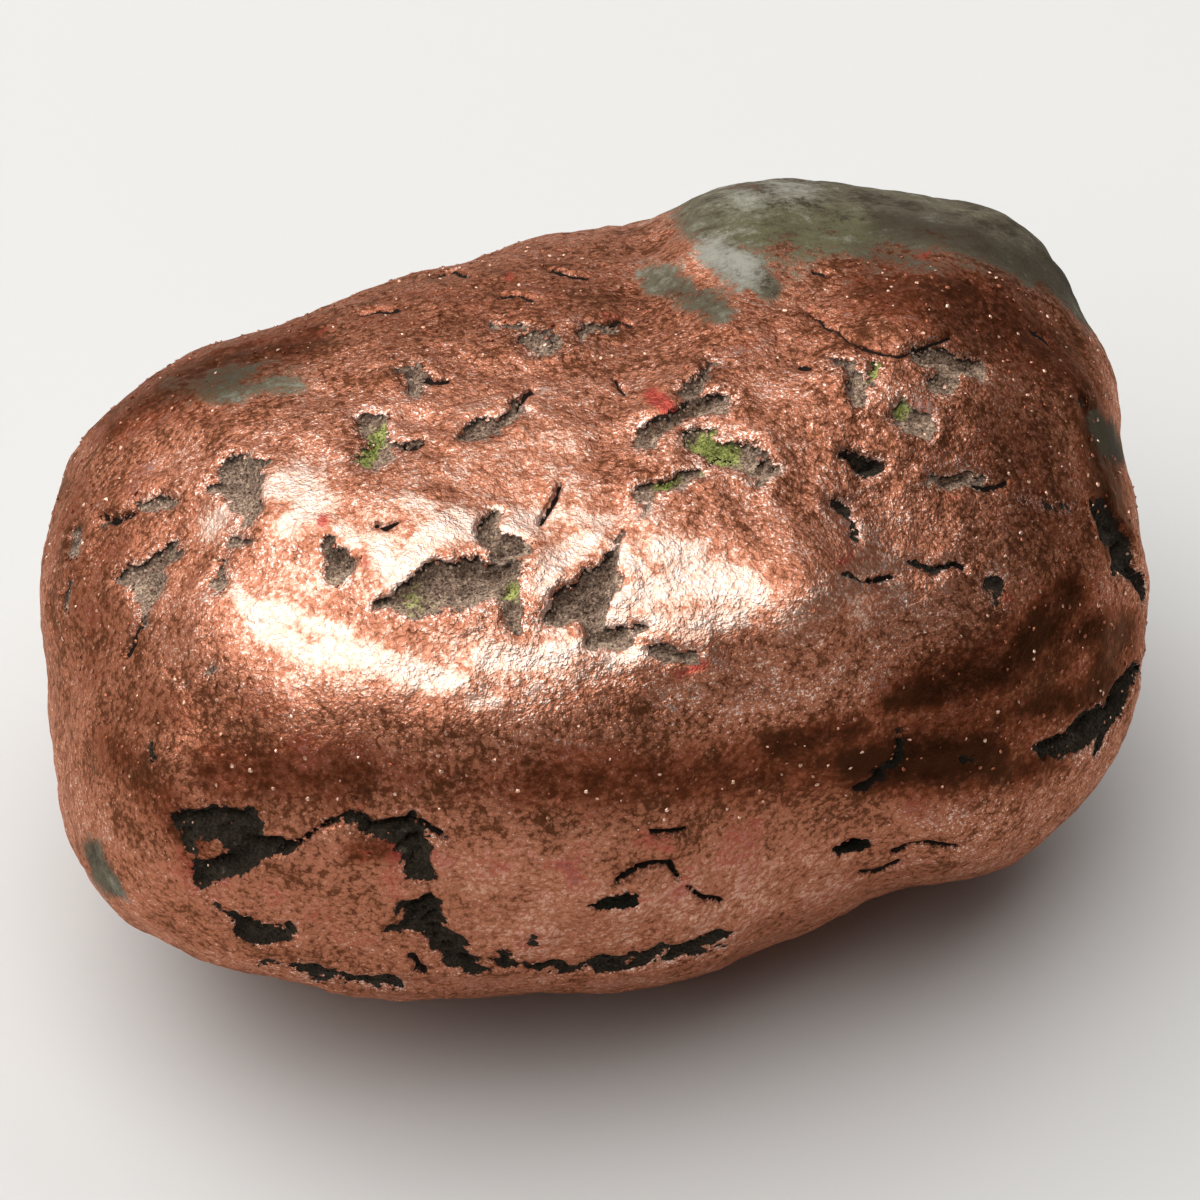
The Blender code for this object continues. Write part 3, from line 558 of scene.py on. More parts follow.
def runs(corners: Array) -> Iterable[tuple[Array, Array]]:
    """Each run from one corner of a stroke to the next, or its only corner twice."""
    return zip(corners, corners[1:] if len(corners) > 1 else corners)


def beside(points: Array, first: Array, last: Array) -> tuple[Array, Array]:
    """Where points lie beside one run of a line.

    Args:
        points: the points, one row each.
        first: where the run starts.
        last: where it ends.

    Returns:
        How far along the run each point is, from 0 to 1, and its distance from the run.
    """
    run = last - first
    along = np.clip((points - first) @ run / max(run @ run, 1e-9), 0.0, 1.0)
    return along, np.linalg.norm(points - first - along[:, None] * run, axis=1)


def stroke_gap(points: Array, placed: Array) -> Array:
    """How far each point is from a stroke's edge in space.

    Args:
        points: the points, one row each.
        placed: the stroke's corners, each a place and a reach.

    Returns:
        Millimetres to the edge, below zero inside it.
    """
    nearest = np.full(len(points), np.inf)
    for first, last in runs(placed):
        along, gap = beside(points, first[:-1], last[:-1])
        nearest = np.minimum(nearest, gap - first[-1] - (last[-1] - first[-1]) * along)
    return nearest


def reaches_away(points: Array, stroke: Stroke) -> Array:
    """How far each point is from a stroke's line, as seen on the broad face.

    Args:
        points: the points, one row each.
        stroke: the stroke.

    Returns:
        The distance in reaches of the stroke.
    """
    nearest = np.full(len(points), np.inf)
    for first, last in runs(np.array(stroke)):
        along, gap = beside(points[:, :2], first[:2], last[:2])
        nearest = np.minimum(nearest, gap / (first[2] + (last[2] - first[2]) * along))
    return nearest


@dataclass(frozen=True)
class BroadFace:
    """The way the lump's broad face looks.

    Args:
        lean: how far its normal leans up from level, in degrees.
        turn: how far its normal is turned from -Y towards -X, in degrees.
    """

    lean: float = 38.0
    turn: float = 22.0

    def axes(self) -> Array:
        """The face's right, up and outward directions, as the rows of a matrix."""
        lean, turn = math.radians(self.lean), math.radians(self.turn)
        right = (math.cos(turn), -math.sin(turn), 0.0)
        up = (math.sin(turn) * math.sin(lean), math.cos(turn) * math.sin(lean), math.cos(lean))
        out = (-math.sin(turn) * math.cos(lean), -math.cos(turn) * math.cos(lean),
               math.sin(lean))
        return np.array((right, up, out))

    def place(self, u: float, v: float, w: float) -> Vector:
        """A place given in millimetres on the face, in metres in the lump's frame."""
        return Vector(np.array((u, v, w)) @ self.axes() * MM)


@dataclass(frozen=True)
class CubeNet:
    """A cube's six sides, cut into cells and blown out to a sphere with no poles.

    Args:
        cells: how many cells lie along an edge of the cube.
        crowd: how much closer the cells lie on the side that is looked at most.
    """

    cells: int = 127
    crowd: float = 0.27

    def built(self, towards: Array) -> tuple[Array, Array]:
        """Make the net.

        Args:
            towards: the direction that the cells crowd to.

        Returns:
            The unit directions of its points, and the four corners of each cell.
        """
        steps = np.arange(self.cells + 1)
        rows, columns = (way.ravel() for way in np.meshgrid(steps, steps, indexing="ij"))
        first = (steps[:-1, None] * (self.cells + 1) + steps[None, :-1]).ravel()
        around = np.column_stack(
            (first, first + self.cells + 1, first + self.cells + 2, first + 1))
        sheets, corners = [], []
        for axis in range(3):
            for end in (0, self.cells):
                sheet = np.empty((len(rows), 3), dtype=np.int64)
                sheet[:, axis] = end
                sheet[:, (axis + 1) % 3] = rows
                sheet[:, (axis + 2) % 3] = columns
                corners.append((around if end else around[:, ::-1]) + len(rows) * len(sheets))
                sheets.append(sheet)
        lattice, index = np.unique(np.concatenate(sheets), axis=0, return_inverse=True)
        spread = np.tan((2.0 * lattice / self.cells - 1.0) * math.pi / 4.0)
        direction = spread / np.linalg.norm(spread, axis=1)[:, None] + self.crowd * towards
        direction /= np.linalg.norm(direction, axis=1)[:, None]
        return direction, index.reshape(-1)[np.concatenate(corners)]


@dataclass
class Skin:
    """A closed skin of points and four-cornered cells, in millimetres on the broad face.

    Args:
        points: its points, one row each.
        cells: the four corners of each cell.
    """

    points: Array
    cells: Array

    def triangles(self) -> Array:
        """Each cell as two triangles."""
        return np.concatenate((self.cells[:, (0, 1, 2)], self.cells[:, (0, 2, 3)]))

    def gathered(self, corners: Array, vectors: Array) -> Array:
        """The sum at each point of the vectors of the triangles around it."""
        return np.column_stack([
            np.bincount(corners.ravel(), np.repeat(vectors[:, axis], 3), len(self.points))
            for axis in range(3)])

    def normals(self) -> Array:
        """The unit normal at each point, from the triangles around it."""
        corners = self.triangles()
        sides = self.points[corners]
        facing = np.cross(sides[:, 1] - sides[:, 0], sides[:, 2] - sides[:, 0])
        total = self.gathered(corners, facing)
        return total / np.linalg.norm(total, axis=1)[:, None]

    def slope(self, values: Array) -> Array:
        """How fast a value rises along the skin at each point, as a vector.

        Args:
            values: the value at each point.

        Returns:
            The rise per millimetre, pointing the way it rises.
        """
        corners = self.triangles()
        sides, known = self.points[corners], values[corners]
        across, along = sides[:, 1] - sides[:, 0], sides[:, 2] - sides[:, 0]
        facing = np.cross(across, along)
        area = np.maximum(np.einsum("ij,ij->i", facing, facing), 1e-12)[:, None]
        rise = ((known[:, 1] - known[:, 0])[:, None] * np.cross(along, facing)
                + (known[:, 2] - known[:, 0])[:, None] * np.cross(facing, across)) / area
        weight = np.bincount(corners.ravel(), minlength=len(self.points))
        return self.gathered(corners, rise) / weight[:, None]

    def depth_over(self, normals: Array, u: float, v: float, side: Side) -> float:
        """How far out the skin of one side lies over a place of the broad face.

        Args:
            normals: the skin's normals.
            u: how far right the place is.
            v: how far up it is.
            side: the side.

        Returns:
            The depth of the nearest point there.
        """
        gap = np.hypot(self.points[:, 0] - u, self.points[:, 1] - v)
        gap[normals[:, 2] * side.value <= 0] = np.inf
        return float(self.points[np.argmin(gap), 2])


@dataclass(frozen=True)
class Pebble:
    """The plain waterworn lump, before rock was plucked from it.

    Args:
        face: the way its broad face looks.
        half_sizes: half its length, depth and height in millimetres, before its outline.
        squareness: 2 for an ellipsoid, and more for a squarer pebble.
        sectors: how many sectors its outline is fitted in.
        rough_size: how wide its slow unevenness is, in millimetres.
        rough_height: how high that unevenness is, in millimetres.
        rim_fade: how far from its outline a swell fades in, as a share of the normal.
    """

    face: BroadFace = field(default_factory=BroadFace)
    half_sizes: Point = (22.0, 16.5, 12.0)
    squareness: float = 2.5
    sectors: int = 360
    rough_size: float = 3.2
    rough_height: float = 0.16
    rim_fade: float = 0.35

    def outline_radius(self, angle: Array) -> Array:
        """How far the outline is from the middle, on a smooth closed curve.

        Args:
            angle: the angles, from the right end anticlockwise, in radians.

        Returns:
            The distance at each angle, in millimetres.
        """
        corners = np.array(OUTLINE)
        known = np.unwrap(np.arctan2(corners[:, 1], corners[:, 0]))
        reach = np.tile(np.hypot(corners[:, 0], corners[:, 1]), 3)
        turn = 2.0 * math.pi
        known = np.concatenate((known - turn, known, known + turn))
        slope = np.gradient(reach, known)
        before = np.searchsorted(known, angle, side="right") - 1
        gap = known[before + 1] - known[before]
        t = (angle - known[before]) / gap
        rise = reach[before + 1] - reach[before]
        return (reach[before] + slope[before] * gap * (t - 2 * t ** 2 + t ** 3)
                + rise * (3 * t ** 2 - 2 * t ** 3) + slope[before + 1] * gap * (t ** 3 - t ** 2))

    def widest_reach(self, angle: Array, reach: Array) -> Array:
        """The plain pebble's own outline, from the farthest points around.

        Args:
            angle: the angle of each point.
            reach: how far each point is from the middle.

        Returns:
            The outline's distance from the middle at each point's angle.
        """
        count = self.sectors
        sector = np.floor((angle / math.pi + 1.0) * count / 2).astype(int) % count
        widest = np.zeros(count)
        np.maximum.at(widest, sector, reach)
        middles = (np.arange(-1, count + 1) + 0.5) * 2.0 * math.pi / count - math.pi
        return np.interp(angle, middles, np.concatenate((widest[-1:], widest, widest[:1])))

    def drawn_out(self, direction: Array) -> Array:
        """Points of a squarish pebble that is drawn out to the outline.

        Args:
            direction: unit directions in the lump's own frame.

        Returns:
            The points, in millimetres on the broad face.
        """
        shares = np.abs(direction / np.array(self.half_sizes)) ** self.squareness
        size = shares.sum(axis=1) ** (-1.0 / self.squareness)
        pebble = direction * size[:, None] @ self.face.axes().T
        reach = np.hypot(pebble[:, 0], pebble[:, 1])
        angle = np.arctan2(pebble[:, 1], pebble[:, 0])
        fit = self.outline_radius(angle) / self.widest_reach(angle, reach)
        pebble[:, :2] *= fit[:, None]
        return pebble

    def skin(self, net: CubeNet) -> Skin:
        """The lump with its swells and slow unevenness.

        Args:
            net: the cells that it is drawn on.

        Returns:
            The plain skin.
        """
        direction, cells = net.built(self.face.axes()[2])
        skin = Skin(self.drawn_out(direction), cells)
        lift = skin.normals()[:, 2]
        for side, swells in SWELLS.items():
            weight = smooth_step(0.0, self.rim_fade, lift * side.value)
            for height, stroke in swells:
                away = reaches_away(skin.points, stroke)
                skin.points[:, 2] += side.value * height * weight * np.exp(-away ** 2)
        rise = self.rough_height * noise_at(skin.points, self.rough_size, 4)
        skin.points += skin.normals() * rise[:, None]
        return skin


@dataclass
class Marks:
    """What each point of the skin carries for its finish.

    Args:
        gap: millimetres to the nearest hollow's rim, below zero inside.
        shade: how much painted shade darkens the rock there.
        under: how much the nearest rim overhangs it.
        crack: millimetres to the nearest crack's line, in half-widths of that crack.
        cloud: slow noise, mostly between -1 and 1.
        stains: one value for each tint.
        farthest: the largest gap that is stored, in millimetres.
        most_widths: the largest distance to a crack that is stored, in half-widths.
    """

    gap: Array
    shade: Array
    under: Array
    crack: Array
    cloud: Array
    stains: dict[Tint, Array]
    farthest: float = 2.0
    most_widths: float = 9.0

    def written(self, mesh: bpy.types.Mesh) -> None:
        """Store every mark as an attribute of a mesh's points.

        Args:
            mesh: the mesh, whose points are in the same order.
        """
        named = {"gap": np.clip(self.gap, -self.farthest, self.farthest),
                 "crack": np.minimum(self.crack, self.most_widths),
                 "shade": self.shade, "under": self.under, "cloud": self.cloud}
        named |= {tint.value: values for tint, values in self.stains.items()}
        named["beaded"] = self.stains[Tint.TARNISH_AND_SHADE] - self.stains[Tint.CRUST]
        for name, values in named.items():
            layer = mesh.attributes.new(name, "FLOAT", "POINT")
            layer.data.foreach_set("value", values.astype(np.float32))


@dataclass
class Wear:
    """How the lump was hollowed, cracked and stained.

    Sizes are in millimetres.

    Args:
        ragged_size: how wide the wandering of a rim is.
        depth_share: how much depth counts against width in a stroke's reach.
        wall: how wide a hollow's wall is.
        lip_height: how high the copper stands round a hollow.
        lip_width: how wide that lip is.
        lip_size: how wide its uneven stretches are.
        lip_uneven: how much its height varies there, as a share.
        floor_size: how wide the lumps of a hollow's floor are.
        floor_height: how high they are.
        floor_wall: how far inside the rim they reach that height.
        open_depth: a hollow's depth where it runs out, as a share of its depth.
        cut_depth: how much more it is under an overhanging rim.
        slant: how much the water came from the left, for each part from above.
        flattest: the least slope of a gap that counts as a slope.
        crack_step: how far apart a crack's finer corners are.
        crack_sway: how far such a corner strays.
        crack_size: how far apart corners stray alike.
        crack_wall: how wide a crack's wall is.
        crack_facing: how squarely the skin has to face a side to be cracked from there.
        stain_round: how far round the edge a stain goes, as a share of the normal.
        cloud_size: how wide the slow clouds of its colour are.
        snap: how far a point is moved so that it lies on a rim or a crack.
        knob: where the knob at the right end is, as (u, v, w, radius).
        knob_foot: where the knob starts to rise, in radii from its middle.
        knob_top: where it reaches its full height, in radii.
        foot_wear: how much of the lowest part is worn flat.
        foot_fade: where wear by plucking is full again, in heights of that flat.
    """

    ragged_size: float = 1.1
    depth_share: float = 0.5
    wall: float = 0.32
    lip_height: float = 0.08
    lip_width: float = 0.3
    lip_size: float = 0.7
    lip_uneven: float = 0.6
    floor_size: float = 0.5
    floor_height: float = 0.07
    floor_wall: float = 0.4
    open_depth: float = 0.45
    cut_depth: float = 0.75
    slant: float = 0.4
    flattest: float = 0.2
    crack_step: float = 0.22
    crack_sway: float = 0.12
    crack_size: float = 0.35
    crack_wall: float = 0.16
    crack_facing: float = 0.1
    stain_round: float = 0.3
    cloud_size: float = 1.5
    snap: float = 0.075
    knob: tuple[float, float, float, float] = (19.7, 1.7, -3.2, 0.34)
    knob_foot: float = 2.2
    knob_top: float = 0.6
    foot_wear: float = 0.5
    foot_fade: float = 3.0

    def placed(self, skin: Skin, normals: Array, side: Side, stroke: Stroke) -> Array:
        """A stroke's corners with the skin's depth put in.

        Args:
            skin: the skin that it lies on.
            normals: the skin's normals.
            side: the half it is on.
            stroke: the stroke.

        Returns:
            The corners, each (u, v, depth, reach).
        """
        return np.array([
            (u, v, self.depth_share * skin.depth_over(normals, u, v, side), reach)
            for u, v, reach in stroke])

    def hollows(self, skin: Skin, normals: Array) -> tuple[Array, Array, Array]:
        """Where the hollows are.

        Args:
            skin: the skin that they are in.
            normals: its normals.

        Returns:
            Each point's gap to the nearest rim, its depth, and the shade there.
        """
        stray = np.column_stack([
            noise_at(skin.points, self.ragged_size, 3, start) for start in RAGGED_STARTS])
        gap = np.full(len(skin.points), np.inf)
        depth, shade = np.zeros(len(skin.points)), np.zeros(len(skin.points))
        for side, hollow in ((side, hollow) for side in Side for hollow in HOLLOWS[side]):
            ragged = skin.points + hollow.ragged * stray
            ragged[:, 2] *= self.depth_share
            edge = np.full(len(skin.points), np.inf)
            for stroke in hollow.strokes:
                edge = np.minimum(edge, stroke_gap(
                    ragged, self.placed(skin, normals, side, stroke)))
            nearer = edge < gap
            shade[nearer], gap[nearer] = hollow.filling.value, edge[nearer]
            depth = np.maximum(depth, hollow.depth * smooth_step(0.0, self.wall, -edge))
        return gap, depth, shade

    def cracks(self, skin: Skin, normals: Array, snap: bool) -> tuple[Array, Array]:
        """Where the cracks are.

        Args:
            skin: the skin that they are in.
            normals: its normals.
            snap: whether the nearest points are first moved onto their lines.

        Returns:
            Each point's distance to the nearest crack in half-widths, and its depth.
        """
        away = np.full(len(skin.points), np.inf)
        depth = np.zeros(len(skin.points))
        for side, crack in ((side, crack) for side in Side for crack in CRACKS[side]):
            facing = np.where(normals[:, 2] * side.value > self.crack_facing)[0]
            line = jagged_line(crack.line, self.crack_step, self.crack_sway, self.crack_size)
            for first, last in runs(line):
                run = last - first
                places = skin.points[facing, :2]
                along = np.clip((places - first) @ run / max(run @ run, 1e-9), 0.0, 1.0)
                off = first + along[:, None] * run - places
                gap = np.linalg.norm(off, axis=1)
                if snap:
                    near = gap < self.snap
                    skin.points[facing[near], :2] += off[near]
                    gap[near] = 0.0
                away[facing] = np.minimum(away[facing], gap / crack.reach)
                groove = crack.depth * (1.0 - smooth_step(0.0, self.crack_wall, gap))
                depth[facing] = np.maximum(depth[facing], groove)
        return away, depth

    def stains(self, skin: Skin, normals: Array) -> dict[Tint, Array]:
        """How strongly each point is stained, painted highlight and painted shade included.

        Args:
            skin: the skin that is stained.
            normals: its normals.

        Returns:
            One value from 0 up for each point, for each tint.
        """
        found = {tint: np.zeros(len(skin.points)) for tint in Tint}
        for side, tints in STAINS.items():
            facing = smooth_step(-self.stain_round, 0.0, normals[:, 2] * side.value)
            for tint, strokes in tints.items():
                for amount, stroke in strokes:
                    away = reaches_away(skin.points, stroke)
                    found[tint] = np.maximum(found[tint], amount * facing * np.exp(-away ** 2))
        return found

    def snapped(self, skin: Skin, normals: Array) -> None:
        """Move the nearest points onto the hollows' rims and the cracks' lines.

        Args:
            skin: the skin, whose points are moved.
            normals: its normals.
        """
        gap = self.hollows(skin, normals)[0]
        slope = skin.slope(gap)
        steep = np.maximum(np.einsum("ij,ij->i", slope, slope), self.flattest)
        shift = -(gap / steep)[:, None] * slope
        near = np.linalg.norm(shift, axis=1) < self.snap
        skin.points[near] += shift[near]
        self.cracks(skin, normals, snap=True)

    def overhang(self, slope: Array) -> Array:
        """How much a rim overhangs each point, from 0 to 1.

        Water came from above and a little from the left, so a hollow is cut steep under its
        upper rim and runs out below.

        Args:
            slope: which way the rim lies, as the slope of the gap to it.

        Returns:
            The overhang at each point.
        """
        upward = slope[:, 1] - self.slant * slope[:, 0]
        length = np.maximum(np.linalg.norm(slope, axis=1), self.flattest)
        return smooth_step(-0.3, 0.8, upward / length)

    def knobbed(self, points: Array) -> Array:
        """How far the knob at the right end lifts each point, in millimetres."""
        *middle, reach = self.knob
        away = np.linalg.norm(points - np.array(middle), axis=1)
        return reach * smooth_step(-self.knob_foot * reach, -self.knob_top * reach, -away)

    def worn(self, skin: Skin) -> Marks:
        """Hollow, crack and stain a skin.

        Args:
            skin: the plain lump, which is changed.

        Returns:
            The marks that its finish reads.
        """
        normals = skin.normals()
        self.snapped(skin, normals)
        gap, sunk, shade = self.hollows(skin, normals)
        crack, groove = self.cracks(skin, normals, snap=False)
        under = self.overhang(skin.slope(gap))
        sunk *= self.open_depth + self.cut_depth * under
        lip = self.lip_height * np.exp(-((gap - self.lip_width) / self.lip_width) ** 2)
        uneven = 1.0 + self.lip_uneven * noise_at(skin.points, self.lip_size, 2, LIP_START)
        floor = self.floor_height * smooth_step(0.0, self.floor_wall, -gap)
        lumps = floor * noise_at(skin.points, self.floor_size, 2, FLOOR_START)
        height = skin.points @ BroadFace().axes()[:, 2]
        clear = smooth_step(
            self.foot_wear, self.foot_fade * self.foot_wear, height - height.min())
        cloud = noise_at(skin.points, self.cloud_size, 4, CLOUD_START)
        marks = Marks(gap, shade, under, crack, cloud, self.stains(skin, normals))
        change = clear * (lip * uneven - np.maximum(sunk, groove) + lumps)
        change += self.knobbed(skin.points)
        skin.points += normals * change[:, None]
        return marks


def colour(code: str) -> tuple[float, float, float, float]:
    """An sRGB hex colour as the linear colour that a shader takes.

    Args:
        code: the hex colour, such as "#ba795d".

    Returns:
        Its red, green, blue and alpha.
    """
    shares = [int(code.lstrip("#")[place:place + 2], 16) / 255 for place in (0, 2, 4)]
    linear = [share / 12.92 if share <= 0.04045 else ((share + 0.055) / 1.055) ** 2.4
              for share in shares]
    return (linear[0], linear[1], linear[2], 1.0)


def add_node(tree: bpy.types.NodeTree, kind: str, inputs: dict[Any, Any] | None = None,
             **settings: Any) -> bpy.types.Node:
    """Add one node to a tree.

    Args:
        tree: the tree that it goes in.
        kind: its Blender type.
        inputs: what each input is linked or set to, by name or place.
        settings: its own settings.

    Returns:
        The node.
    """
    node = tree.nodes.new(kind)
    for name, value in settings.items():
        setattr(node, name, value)
    for key, value in (inputs or {}).items():
        if isinstance(value, bpy.types.NodeSocket):
            tree.links.new(value, node.inputs[key])
        else:
            node.inputs[key].default_value = value
    return node


@dataclass
class GeometryTree:
    """A Geometry Nodes tree with named inputs.

    Args:
        name: its name.
        inputs: the names of its inputs, by the kind of their sockets.
    """

    name: str
    inputs: dict[str, tuple[str, ...]]

    def __post_init__(self) -> None:
        """Make the tree and its sockets."""
        self.tree = bpy.data.node_groups.new(self.name, "GeometryNodeTree")
        sockets = self.tree.interface
        sockets.new_socket("Geometry", in_out="INPUT", socket_type="NodeSocketGeometry")
        sockets.new_socket("Geometry", in_out="OUTPUT", socket_type="NodeSocketGeometry")
        self.keys = {
            name: sockets.new_socket(
                name, in_out="INPUT", socket_type=f"NodeSocket{kind}").identifier
            for kind, names in self.inputs.items() for name in names}
        self.entry = self.tree.nodes.new("NodeGroupInput")

    def add(self, kind: str, inputs: dict[Any, Any] | None = None, out: Any = 0,
            **settings: Any) -> bpy.types.NodeSocket:
        """Add one node, and give one of its outputs.

        Args:
            kind: its Blender type.
            inputs: what each input is linked or set to, by name or place.
            out: the output that is wanted, by name or place.
            settings: its own settings.

        Returns:
            That output.
        """
        return add_node(self.tree, kind, inputs, **settings).outputs[out]

    def given(self, name: str) -> bpy.types.NodeSocket:
        """The value of one named input."""
        return self.entry.outputs[name]

    def mark(self, name: Any) -> bpy.types.NodeSocket:
        """A mark that the mesh carries."""
        return self.add("GeometryNodeInputNamedAttribute", {"Name": name}, "Attribute",
                        data_type="FLOAT")

    def clear_of_foot(self, lowest: float) -> bpy.types.NodeSocket:
        """Whether a place is more than a height above the worn foot's flat.

        Args:
            lowest: that height, in metres.

        Returns:
            The answer, for a node that takes a selection.
        """
        place = self.add("GeometryNodeInputPosition")
        height = self.add("ShaderNodeSeparateXYZ", {0: place}, "Z")
        return self.add("FunctionNodeCompare", {"A": height, "B": lowest},
                        operation="GREATER_THAN")

    def finished(self, geometry: bpy.types.NodeSocket) -> None:
        """End the tree in Realize Instances and Set Material.

        Args:
            geometry: what the tree has made.
        """
        real = self.add("GeometryNodeRealizeInstances", {"Geometry": geometry})
        dressed = self.add("GeometryNodeSetMaterial", {
            "Geometry": real, "Material": self.given("Material")})
        add_node(self.tree, "NodeGroupOutput", {0: dressed})

    def applied(self, obj: bpy.types.Object, values: dict[str, Any]) -> None:
        """Run the tree on an object and keep what it makes as the object's plain mesh.

        Args:
            obj: the object, whose mesh is replaced.
            values: the value of each named input.
        """
        modifier = obj.modifiers.new(self.name, "NODES")
        modifier.node_group = self.tree
        for name, value in values.items():
            modifier[self.keys[name]] = value
        bpy.context.view_layer.update()
        graph = bpy.context.evaluated_depsgraph_get()
        mesh = bpy.data.meshes.new_from_object(
            obj.evaluated_get(graph), preserve_all_data_layers=True, depsgraph=graph)
        obj.modifiers.remove(modifier)
        old, obj.data = obj.data, mesh
        bpy.data.meshes.remove(old)
        mesh.name = obj.name


def peening_tree() -> GeometryTree:
    """A tree that beats small dents into the copper of a skin, and leaves the rock."""
    made = GeometryTree("peened_copper", {
        "Float": ("Dent Size", "Dent Depth", "Wave Size", "Wave Height"),
        "Material": ("Material",)})
    given = made.given
    place = made.add("GeometryNodeInputPosition")
    # The dents grow from faint at a hollow's rim to full 0.3 mm away from it.
    bare = made.add("ShaderNodeMapRange", {
        "Value": made.mark("gap"), "From Min": 0.0, "From Max": 0.3, "To Min": 0.15,
        "To Max": 1.0})
    scales = [made.add("ShaderNodeMath", {0: 1.0, 1: given(size)}, operation="DIVIDE")
              for size in ("Wave Size", "Dent Size")]
    waves = made.add("ShaderNodeTexNoise", {"Vector": place, "Scale": scales[0], "Detail": 2.0})
    dents = made.add("ShaderNodeTexVoronoi", {
        "Vector": place, "Scale": scales[1], "Smoothness": 0.4}, feature="SMOOTH_F1")
    dent = made.add("ShaderNodeMath", {0: dents, 1: given("Dent Depth")}, operation="MULTIPLY")
    rise = waves
    for operation, other in (("SUBTRACT", 0.5), ("MULTIPLY", given("Wave Height")),
                             ("ADD", dent), ("MULTIPLY", bare)):
        rise = made.add("ShaderNodeMath", {0: rise, 1: other}, operation=operation)
    shift = made.add("ShaderNodeVectorMath", {
        0: made.add("GeometryNodeInputNormal"), "Scale": rise}, operation="SCALE")
    made.finished(made.add("GeometryNodeSetPosition", {
        "Geometry": given("Geometry"), "Selection": made.clear_of_foot(0.0001),
        "Offset": shift}))
    return made


def scatter_tree() -> GeometryTree:
    """A tree that scatters small uneven grains over part of a skin and drops the skin."""
    made = GeometryTree("scattered_grains", {
        "String": ("Mark",), "Int": ("Facets", "Seed"), "Material": ("Material",),
        "Float": ("Lowest", "Highest", "Density", "Spacing", "Smallest", "Largest", "Sink",
                  "Flatness")})
    given = made.given

    value, inside = made.mark(given("Mark")), made.clear_of_foot(0.0004)
    for operation, limit in (("GREATER_THAN", "Lowest"), ("LESS_THAN", "Highest")):
        within = made.add("FunctionNodeCompare", {"A": value, "B": given(limit)},
                          operation=operation)
        inside = made.add("FunctionNodeBooleanMath", {0: inside, 1: within})
    spread = add_node(made.tree, "GeometryNodeDistributePointsOnFaces", {
        "Mesh": given("Geometry"), "Selection": inside, "Distance Min": given("Spacing"),
        "Density Max": given("Density"), "Density Factor": 1.0, "Seed": given("Seed")},
        distribute_method="POISSON")
    grain = made.add("GeometryNodeMeshIcoSphere", {
        "Radius": 1.0, "Subdivisions": given("Facets")})
    uneven = made.add("FunctionNodeRandomValue", {
        "Min": (-0.35,) * 3, "Max": (0.35,) * 3, "Seed": 3}, data_type="FLOAT_VECTOR")
    grain = made.add("GeometryNodeSetPosition", {"Geometry": grain, "Offset": uneven})
    flat = made.add("ShaderNodeCombineXYZ", {0: 1.0, 1: 1.0, 2: given("Flatness")})
    size = made.add("FunctionNodeRandomValue", {
        2: given("Smallest"), 3: given("Largest"), "Seed": given("Seed")}, 1,
        data_type="FLOAT")
    size = made.add("ShaderNodeVectorMath", {0: flat, "Scale": size}, operation="SCALE")
    grains = made.add("GeometryNodeInstanceOnPoints", {
        "Points": spread.outputs["Points"], "Instance": grain,
        "Rotation": spread.outputs["Rotation"], "Scale": size})
    twist = made.add("FunctionNodeRandomValue", {
        "Min": (-0.5, -0.5, 0.0), "Max": (0.5, 0.5, 2.0 * math.pi), "Seed": 11},
        data_type="FLOAT_VECTOR")
    grains = made.add("GeometryNodeRotateInstances", {
        "Instances": grains, "Rotation": twist, "Local Space": True})
    grains = made.add("GeometryNodeTranslateInstances", {
        "Instances": grains, "Local Space": True,
        "Translation": made.add("ShaderNodeCombineXYZ", {2: given("Sink")})})
    tone = made.add("FunctionNodeRandomValue", {2: 0.0, 3: 1.0, "Seed": 29}, 1,
                    data_type="FLOAT")
    made.finished(made.add("GeometryNodeStoreNamedAttribute", {
        "Geometry": grains, "Name": "tone", "Value": tone},
        data_type="FLOAT", domain="INSTANCE"))
    return made


